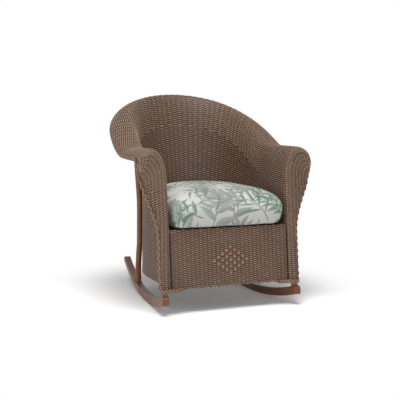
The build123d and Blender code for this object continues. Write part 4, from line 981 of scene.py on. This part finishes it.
def cushion_form(shrink):
    """Closed crowned form: at each height the outline is scaled by a profile that is fullest at the
    waist, tucked in a little under it and drawn out flat on the crown."""
    angle = np.linspace(0, 2 * math.pi, 129)[:-1]
    t = np.linspace(0, 1, 49)[1:-1]
    height = 0.5 - 0.5 * np.cos(math.pi * t)
    low = np.clip(1 - height / CUSHION_WAIST, 0, 1)
    high = np.clip((height - CUSHION_WAIST) / (1 - CUSHION_WAIST), 0, 1)
    share = np.where(height < CUSHION_WAIST, 1 - 0.055 * low ** 2.2 - 0.9 * low ** 50,
                     (1 - high ** 2.4) ** (1 / 2.5))
    reach = np.maximum((cushion_outline(angle)[None, :] - shrink) * share[:, None], 2.0)
    x = reach * np.cos(angle)
    y = CUSHION_CENTRE_Y + reach * np.sin(angle)
    top = CUSHION_TOP_Z - shrink
    z = np.broadcast_to((CUSHION_BOTTOM_Z + (top - CUSHION_BOTTOM_Z) * height)[:, None], x.shape)
    grid = np.stack([x, y, z], -1)
    rows, cols = x.shape
    ids = np.arange(rows * cols).reshape(rows, cols)
    after = np.roll(ids, -1, axis=1)
    quads = np.stack([ids[:-1], after[:-1], after[1:], ids[1:]], -1).reshape(-1, 4)
    ends = np.array([[0, CUSHION_CENTRE_Y, CUSHION_BOTTOM_Z], [0, CUSHION_CENTRE_Y, top]])
    pole = rows * cols
    lower = np.stack([np.full(cols, pole), after[0], ids[0]], -1)
    upper = np.stack([np.full(cols, pole + 1), ids[-1], after[-1]], -1)
    return build_mesh("seat_cushion_cloth", np.concatenate([grid.reshape(-1, 3), ends]),
                      [quads, lower, upper])


def mesh_vectors(mesh, what="co"):
    """Places or normals of a mesh's points."""
    values = np.empty(len(mesh.vertices) * 3, np.float32)
    mesh.vertices.foreach_get(what, values)
    return values.reshape(-1, 3).astype(float)


def apply_modifiers(piece):
    """Replaces the piece's mesh by its evaluated one."""
    graph = bpy.context.evaluated_depsgraph_get()
    graph.update()
    mesh = bpy.data.meshes.new_from_object(piece.evaluated_get(graph), depsgraph=graph)
    piece.modifiers.clear()
    old = piece.data
    piece.data = mesh
    bpy.data.meshes.remove(old)


def inflate(piece):
    """Remeshes the form and lets cloth under pressure swell it, each point by a limited distance.
    Gives the new places of the points."""
    remesh = piece.modifiers.new("even_cloth", "REMESH")
    remesh.mode = "VOXEL"
    remesh.voxel_size = VOXEL
    remesh.use_smooth_shade = True
    apply_modifiers(piece)
    before = mesh_vectors(piece.data)
    cloth = piece.modifiers.new("stuffing", "CLOTH")
    cloth.settings.use_pressure = True
    cloth.settings.uniform_pressure_force = PRESSURE
    cloth.settings.effector_weights.gravity = 0.0
    cloth.settings.quality = 5
    cloth.point_cache.frame_start = 1
    cloth.point_cache.frame_end = SWELL_FRAMES
    scene = bpy.context.scene
    for step in range(1, SWELL_FRAMES + 1):
        scene.frame_set(step)
    apply_modifiers(piece)
    scene.frame_set(1)
    move = mesh_vectors(piece.data) - before
    size = np.linalg.norm(move, axis=1, keepdims=True)
    return before + move * np.minimum(1.0, SWELL_LIMIT / np.maximum(size, 1e-9))


def along_and_across(d, angle):
    """Offsets d split into the part along a direction in the plane and the part across it."""
    c, s = math.cos(angle), math.sin(angle)
    return d[:, 0] * c + d[:, 1] * s, -d[:, 0] * s + d[:, 1] * c


def leaf_shape(d, angle, length, width, bend):
    """How far inside a leaf each point of the cloth is, and where along and across it. The leaf's
    half width is width * sin(pi * t^0.8) at share t of its length, about a line that bends."""
    along, across = along_and_across(d, angle)
    t = along / length
    side = across - bend * length * t * t
    half = width * np.sin(math.pi * np.clip(t, 0, 1) ** 0.8)
    inside = np.where((t > 0) & (t < 1), half - np.abs(side), -9.0)
    return inside, np.clip(t, 0, 1), side


def stem_shape(d, heading, stem, bend):
    """How much of the stem covers each point: a bent line that starts a little before its foot."""
    along, across = along_and_across(d, heading)
    t = along / stem
    side = across - bend * stem * t * t
    return smooth((2.6 - np.abs(side)) / 1.4) * ((t > -0.25) & (t < 1.05)) * 0.85


def leaf_print(q, colours):
    """Colour of the cloth at flat positions q in mm: sprigs of leaves scattered from a fixed seed.

    Each sprig is a bent stem with leaves by turns on either side. Every leaf is filled with its own
    tone, lighter along one half and darker at its midrib, and laid over what is under it.
    """
    rng = np.random.default_rng(LEAF_SEED)
    ground, grey, green, straw = (np.array(c, float) for c in colours)
    cloth = np.broadcast_to(ground, (len(q), 3)).copy()

    def lay(here, mask, tone):
        mask = np.clip(mask, 0, 1)[:, None]
        cloth[here] = cloth[here] * (1 - mask) + tone * mask

    def near(base, reach):
        return np.nonzero(np.abs(q - base).max(1) < reach)[0]

    places = [(x, y) for x in np.arange(-440, 441, 96) for y in np.arange(-500, 501, 104)]
    for index in rng.permutation(len(places)):
        base = np.array(places[index]) + rng.uniform(-30, 30, 2)
        kind = rng.random()
        tone = grey if kind < 0.45 else green if kind < 0.88 else straw
        heading = rng.uniform(0.1, 1.4) * math.pi
        leaves = int(rng.integers(6, 10))
        size = rng.uniform(80, 135)
        width = rng.uniform(11.0, 17.0) if tone is grey else rng.uniform(7.0, 12.0)
        bend = rng.uniform(-0.25, 0.25)
        stem = rng.uniform(95, 165)
        for k in range(leaves):
            share = k / leaves
            hand = 1 if k % 2 else -1
            turn = heading + 2 * bend * share
            root = base + stem * share * np.array([math.cos(turn), math.sin(turn)])
            reach = size * (1.05 - 0.45 * share) * rng.uniform(0.85, 1.1)
            own = tone * rng.uniform(0.75, 1.05)
            here = near(root, reach + 20)
            if len(here) == 0:
                continue
            inside, t, side = leaf_shape(q[here] - root, turn + (0.95 - 0.5 * share) * hand, reach,
                                         width * (1.0 - 0.3 * share), 0.16 * hand)
            shine = (0.5 + 0.5 * np.tanh(side / 3.0)) * (0.2 + 0.6 * t)
            lay(here, smooth(inside / 2.0) * (0.6 if tone is straw else 0.9),
                own + (ground - own) * (0.5 * shine)[:, None])
            lay(here, smooth(1.15 - np.abs(side) / 1.3) * (inside > 0) * 0.5, own * 0.7)
        here = near(base, stem + 60)
        if len(here):
            lay(here, stem_shape(q[here] - base, heading, stem, bend * 1.3),
                (grey if tone is straw else green) * 0.5)
    return cloth


def flat_cloth(points, normals):
    """Where a point of the cushion lies on the cloth laid flat: its plan, and below the crown's edge
    also its distance down the side, measured outwards."""
    q = points[:, :2].copy()
    across = normals[:, :2]
    size = np.linalg.norm(across, axis=1, keepdims=True)
    down = np.clip(CUSHION_TOP_Z - CROWN_EDGE_DROP - points[:, 2:3], 0, None)
    return q + across / np.maximum(size, 0.3) * down


def make_cushion(colours, finish):
    """Crowned cushion that fills the seat, swollen as stuffed cloth and printed with leaves."""
    piece = cushion_form(CUSHION_SHRINK)
    settle(piece, inflate(piece))
    smooth_finely(piece, 1)
    settle(piece, mesh_vectors(piece.data))
    mesh = piece.data
    points = mesh_vectors(mesh) * 1000.0 + np.array([0.0, shift_y(), 0.0])
    tones = leaf_print(flat_cloth(points, mesh_vectors(mesh, "normal")), colours)
    layer = mesh.color_attributes.new("leaf_print", "FLOAT_COLOR", "POINT")
    rgba = np.concatenate([tones, np.ones((len(tones), 1))], 1)
    layer.data.foreach_set("color", rgba.astype(np.float32).ravel())
    mesh.polygons.foreach_set("use_smooth", np.ones(len(mesh.polygons), bool))
    mesh.update()
    give(piece, finish, body="cushion")
    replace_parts(piece, "seat_cushion")


def smooth_finely(piece, levels):
    """Divides the faces of a piece into a finer, smoother mesh."""
    subdivide = piece.modifiers.new("fine_cloth", "SUBSURF")
    subdivide.levels = subdivide.render_levels = levels
    apply_modifiers(piece)


def settle(piece, points):
    """Keeps the cushion between the arms, inside the barrel of the back and on the webbing."""
    low, high = (np.array(corner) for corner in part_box("seat_cushion"))
    points = points.copy()
    points[:, 0] = squeeze(points[:, 0], low[0] - CLOTH_PROUD, high[0] + CLOTH_PROUD, SOFT_SIDES)
    points[:, 1] = squeeze(points[:, 1], low[1] - CLOTH_PROUD, high[1], SOFT_SIDES)
    points[:, 2] = squeeze(points[:, 2], low[2], high[2], SOFT_ENDS)
    x = np.abs(points[:, 0]) * 1000.0
    y = points[:, 1] * 1000.0 + shift_y() - BARREL_FRONT_Y
    share = ((x / (INSIDE_HALF_WIDTH - BARREL_MARGIN)) ** BARREL_POWER
             + (np.maximum(y, 0) / (BARREL_DEPTH - 3 * BARREL_MARGIN)) ** BARREL_POWER)
    pull = np.where(y > 0, np.maximum(share, 1.0) ** (-1 / BARREL_POWER), 1.0)
    points[:, 0] *= pull
    points[:, 1] += y * (pull - 1) / 1000.0
    piece.data.vertices.foreach_set("co", points.astype(np.float32).ravel())
    piece.data.update()


def squeeze(values, low, high, soft):
    """Bends values that come near a limit so that they approach it without passing it."""
    over = values - (high - soft)
    values = np.where(over > 0, high - soft + soft * np.tanh(np.maximum(over, 0) / soft), values)
    under = (low + soft) - values
    return np.where(under > 0, low + soft - soft * np.tanh(np.maximum(under, 0) / soft), values)


# ------------------------------------------------------------------ stage
FLOOR_HALF = 14.0            # metres, as everything on the stage
FLOOR_GLOW = 0.12            # light that the floor adds to what is seen of it
FADE_START, FADE_END = 0.42, 0.95    # from the chair's middle the floor turns white over this
WORLD_STRENGTH = 0.24
# place, point looked at, side in metres, power in watts
LAMPS = {"key_light": ((-0.45, -1.2, 3.2), (0.0, 0.0, 0.4), 1.6, 106.0),
         "side_light": ((-3.2, -1.5, 0.4), (0.0, 0.0, 0.3), 1.0, 46.0),
         "front_light": ((0.9, -3.8, 0.35), (0.0, 0.0, 0.25), 1.0, 20.0)}
CAMERA_AZIMUTH, CAMERA_ELEVATION = math.radians(-21.87), math.radians(6.08)
CAMERA_DISTANCE = 3.898
CAMERA_TARGET = np.array([-19.3, 0.0, 443.7])        # in the chair's own coordinates
FRAME_PIXELS, FOCAL_PIXELS, SENSOR_WIDTH = 400.0, 856.1, 36.0


def lay_floor():
    """A large pale floor, seen as white away from the shadow."""
    corners = [(x * FLOOR_HALF, y * FLOOR_HALF, 0) for x, y in ((-1, -1), (1, -1), (1, 1), (-1, 1))]
    mesh = bpy.data.meshes.new("floor")
    mesh.from_pydata(corners, [], [(0, 1, 2, 3)])
    floor = bpy.data.objects.new("floor", mesh)
    bpy.context.scene.collection.objects.link(floor)
    n = new_finish("pale_floor")
    base = n.greys(n.noise(n.coordinates(), 3.0, 2.0), (0.3, 0.93), (0.7, 0.97))
    n.finish(base, 0.9, 0.0)
    n.put(n.shader.inputs["Emission Color"], (1, 1, 1, 1))
    glow = n.combine("MULTIPLY", n.white_to_eye(), FLOOR_GLOW)
    n.put(n.shader.inputs["Emission Strength"], glow)
    # away from the chair the floor turns into even white
    place = n.add("ShaderNodeVectorMath", {0: n.coordinates()}, operation="LENGTH")
    far = n.add("ShaderNodeMapRange", {"Value": place.outputs["Value"], "From Min": FADE_START,
                                       "From Max": FADE_END}, interpolation_type="SMOOTHSTEP")
    white = n.add("ShaderNodeEmission", {"Color": (1, 1, 1, 1), "Strength": 1.0})
    blend = n.add("ShaderNodeMixShader", {0: far.outputs[0], 1: n.shader.outputs[0],
                                          2: white.outputs[0]})
    n.put(n.tree.nodes["Material Output"].inputs["Surface"], blend.outputs[0])
    mesh.materials.append(n.holder)


def light_world(scene):
    """Even white light from all round, seen as plain white."""
    n = Nodes(bpy.data.worlds.new("studio"))
    scene.world = n.holder
    n.tree.nodes.clear()
    light, white = (n.add("ShaderNodeBackground", {"Color": (1, 1, 1, 1), "Strength": strength})
                    for strength in (WORLD_STRENGTH, 1.0))
    mix = n.add("ShaderNodeMixShader", {0: n.white_to_eye(), 1: light.outputs[0],
                                        2: white.outputs[0]})
    n.add("ShaderNodeOutputWorld", {"Surface": mix.outputs[0]})


def aim(thing, target):
    """Turns a lamp or camera so that it looks at a point."""
    thing.rotation_euler = (Vector(target) - thing.location).to_track_quat("-Z", "Y").to_euler()


def lamp(name, place, target, size, power):
    """A soft square lamp."""
    data = bpy.data.lights.new(name, "AREA")
    data.size = size
    data.energy = power
    thing = bpy.data.objects.new(name, data)
    bpy.context.scene.collection.objects.link(thing)
    thing.location = place
    aim(thing, target)


def place_camera(scene):
    """Camera a little above the arms, in front and to the left of the chair."""
    level = math.cos(CAMERA_ELEVATION)
    way = np.array([math.sin(CAMERA_AZIMUTH) * level, -math.cos(CAMERA_AZIMUTH) * level,
                    math.sin(CAMERA_ELEVATION)])
    target = in_frame(CAMERA_TARGET)
    data = bpy.data.cameras.new("camera")
    data.sensor_width = SENSOR_WIDTH
    data.lens = FOCAL_PIXELS / FRAME_PIXELS * SENSOR_WIDTH
    data.clip_start, data.clip_end = 0.1, 60.0
    camera = bpy.data.objects.new("camera", data)
    scene.collection.objects.link(camera)
    camera.location = target + CAMERA_DISTANCE * way
    aim(camera, target)
    scene.camera = camera


# ------------------------------------------------------------------ operators
class OBJECT_OT_rocker_tub(bpy.types.Operator):
    """Weave the tub, its noses and its rolled rim"""
    bl_idname = "object.rocker_tub"
    bl_label = "Weave Tub"

    def execute(self, context):
        tones, weave = context.scene.rocker_colours, context.scene.rocker_weave
        make_tub_weave(weave, *strand_finishes(tones, "woven_strand", "woven_stake",
                                               "weave_shadow"))
        return {"FINISHED"}


class OBJECT_OT_rocker_panel(bpy.types.Operator):
    """Weave the front panel with its raised diamond"""
    bl_idname = "object.rocker_panel"
    bl_label = "Weave Front Panel"

    def execute(self, context):
        tones, weave = context.scene.rocker_colours, context.scene.rocker_weave
        make_panel_weave(weave, *strand_finishes(tones, "panel_strand", "panel_stake",
                                                 "panel_shadow"))
        make_diamond(strand_material("knot_strand", four(tones.strand)))
        return {"FINISHED"}


class OBJECT_OT_rocker_braids(bpy.types.Operator):
    """Plait the edge braid and the two hem braids"""
    bl_idname = "object.rocker_braids"
    bl_label = "Plait Braids"

    def execute(self, context):
        tones, weave = context.scene.rocker_colours, context.scene.rocker_weave
        finish = strand_material("braid_strand", shade(four(tones.strand), 1.05))
        path, outward = edge_path()
        piece = braid("edge_plait", path, outward, 1000.0 * weave.braid_lobe, *EDGE_STRANDS)
        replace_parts(give(piece, finish), "edge_braid")
        path, outward = hem_path()
        left = braid("left_hem_plait", path, outward, HEM_LOBE, *HEM_STRANDS)
        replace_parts(give(left, finish), "hem_braid_left")
        right = braid("right_hem_plait", path[::-1] * MIRROR, outward[::-1] * MIRROR, HEM_LOBE,
                      *HEM_STRANDS)
        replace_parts(give(right, finish), "hem_braid_right")
        return {"FINISHED"}


class OBJECT_OT_rocker_wood(bpy.types.Operator):
    """Finish the wood, the straps and the steel of the frame"""
    bl_idname = "object.rocker_wood"
    bl_label = "Finish Frame"

    def execute(self, context):
        tones = context.scene.rocker_colours
        rocker = wood_material("rocker_wood", four(tones.rocker), axis=1)
        leg = wood_material("leg_wood", four(tones.leg), axis=2)
        rail = wood_material("rail_wood", four(tones.frame), axis=0)
        strap = strap_material("strap_webbing", four(tones.strap))
        steel = steel_material("zinc_steel")
        finishes = {"rocker_left": rocker, "rocker_right": rocker, "webbing_lengthwise": strap,
                    "webbing_crosswise": strap, "rocker_bolts": steel, "frame_screws": steel}
        for name, node in frame["nodes"].items():
            finish = finishes.get(name, leg if "leg" in name or "facing" in name else rail)
            node.data.materials.clear()
            node.data.materials.append(finish)
        return {"FINISHED"}


class OBJECT_OT_rocker_cushion(bpy.types.Operator):
    """Stuff and print the seat cushion"""
    bl_idname = "object.rocker_cushion"
    bl_label = "Make Cushion"

    def execute(self, context):
        tones = context.scene.rocker_colours
        make_cushion([tones.ground, tones.grey_leaf, tones.green_leaf, tones.straw_leaf],
                     cloth_material("printed_cotton"))
        return {"FINISHED"}


class OBJECT_OT_rocker_stage(bpy.types.Operator):
    """Lay the floor, light it and place the camera"""
    bl_idname = "object.rocker_stage"
    bl_label = "Set Stage"

    def execute(self, context):
        scene = context.scene
        scene.view_settings.view_transform = "Standard"
        lay_floor()
        light_world(scene)
        for name, sizes in LAMPS.items():
            lamp(name, *sizes)
        place_camera(scene)
        return {"FINISHED"}


class VIEW3D_PT_woven_rocker(bpy.types.Panel):
    """Settings and steps of the woven rocker"""
    bl_label = "Woven Porch Rocker"
    bl_space_type = "VIEW_3D"
    bl_region_type = "UI"
    bl_category = "Woven Rocker"

    def draw(self, context):
        layout = self.layout
        for group in (context.scene.rocker_weave, context.scene.rocker_colours):
            box = layout.box()
            for name in type(group).__annotations__:
                box.prop(group, name)
        for step in STEPS:
            layout.operator(step.bl_idname)


STEPS = (OBJECT_OT_rocker_wood, OBJECT_OT_rocker_tub, OBJECT_OT_rocker_panel,
         OBJECT_OT_rocker_braids, OBJECT_OT_rocker_cushion, OBJECT_OT_rocker_stage)
CLASSES = (RockerWeave, RockerColours) + STEPS + (VIEW3D_PT_woven_rocker,)


def register():
    """Makes the settings and steps known to Blender."""
    for cls in CLASSES:
        bpy.utils.register_class(cls)
    bpy.types.Scene.rocker_weave = bpy.props.PointerProperty(type=RockerWeave)
    bpy.types.Scene.rocker_colours = bpy.props.PointerProperty(type=RockerColours)


def unregister():
    """Takes them out again."""
    del bpy.types.Scene.rocker_weave
    del bpy.types.Scene.rocker_colours
    for cls in reversed(CLASSES):
        bpy.utils.unregister_class(cls)


def main():
    """Dresses the frame step by step."""
    register()
    bpy.ops.object.rocker_wood()
    bpy.ops.object.rocker_tub()
    bpy.ops.object.rocker_panel()
    bpy.ops.object.rocker_braids()
    bpy.ops.object.rocker_cushion()
    bpy.ops.object.rocker_stage()


if __name__ == "__main__":
    main()
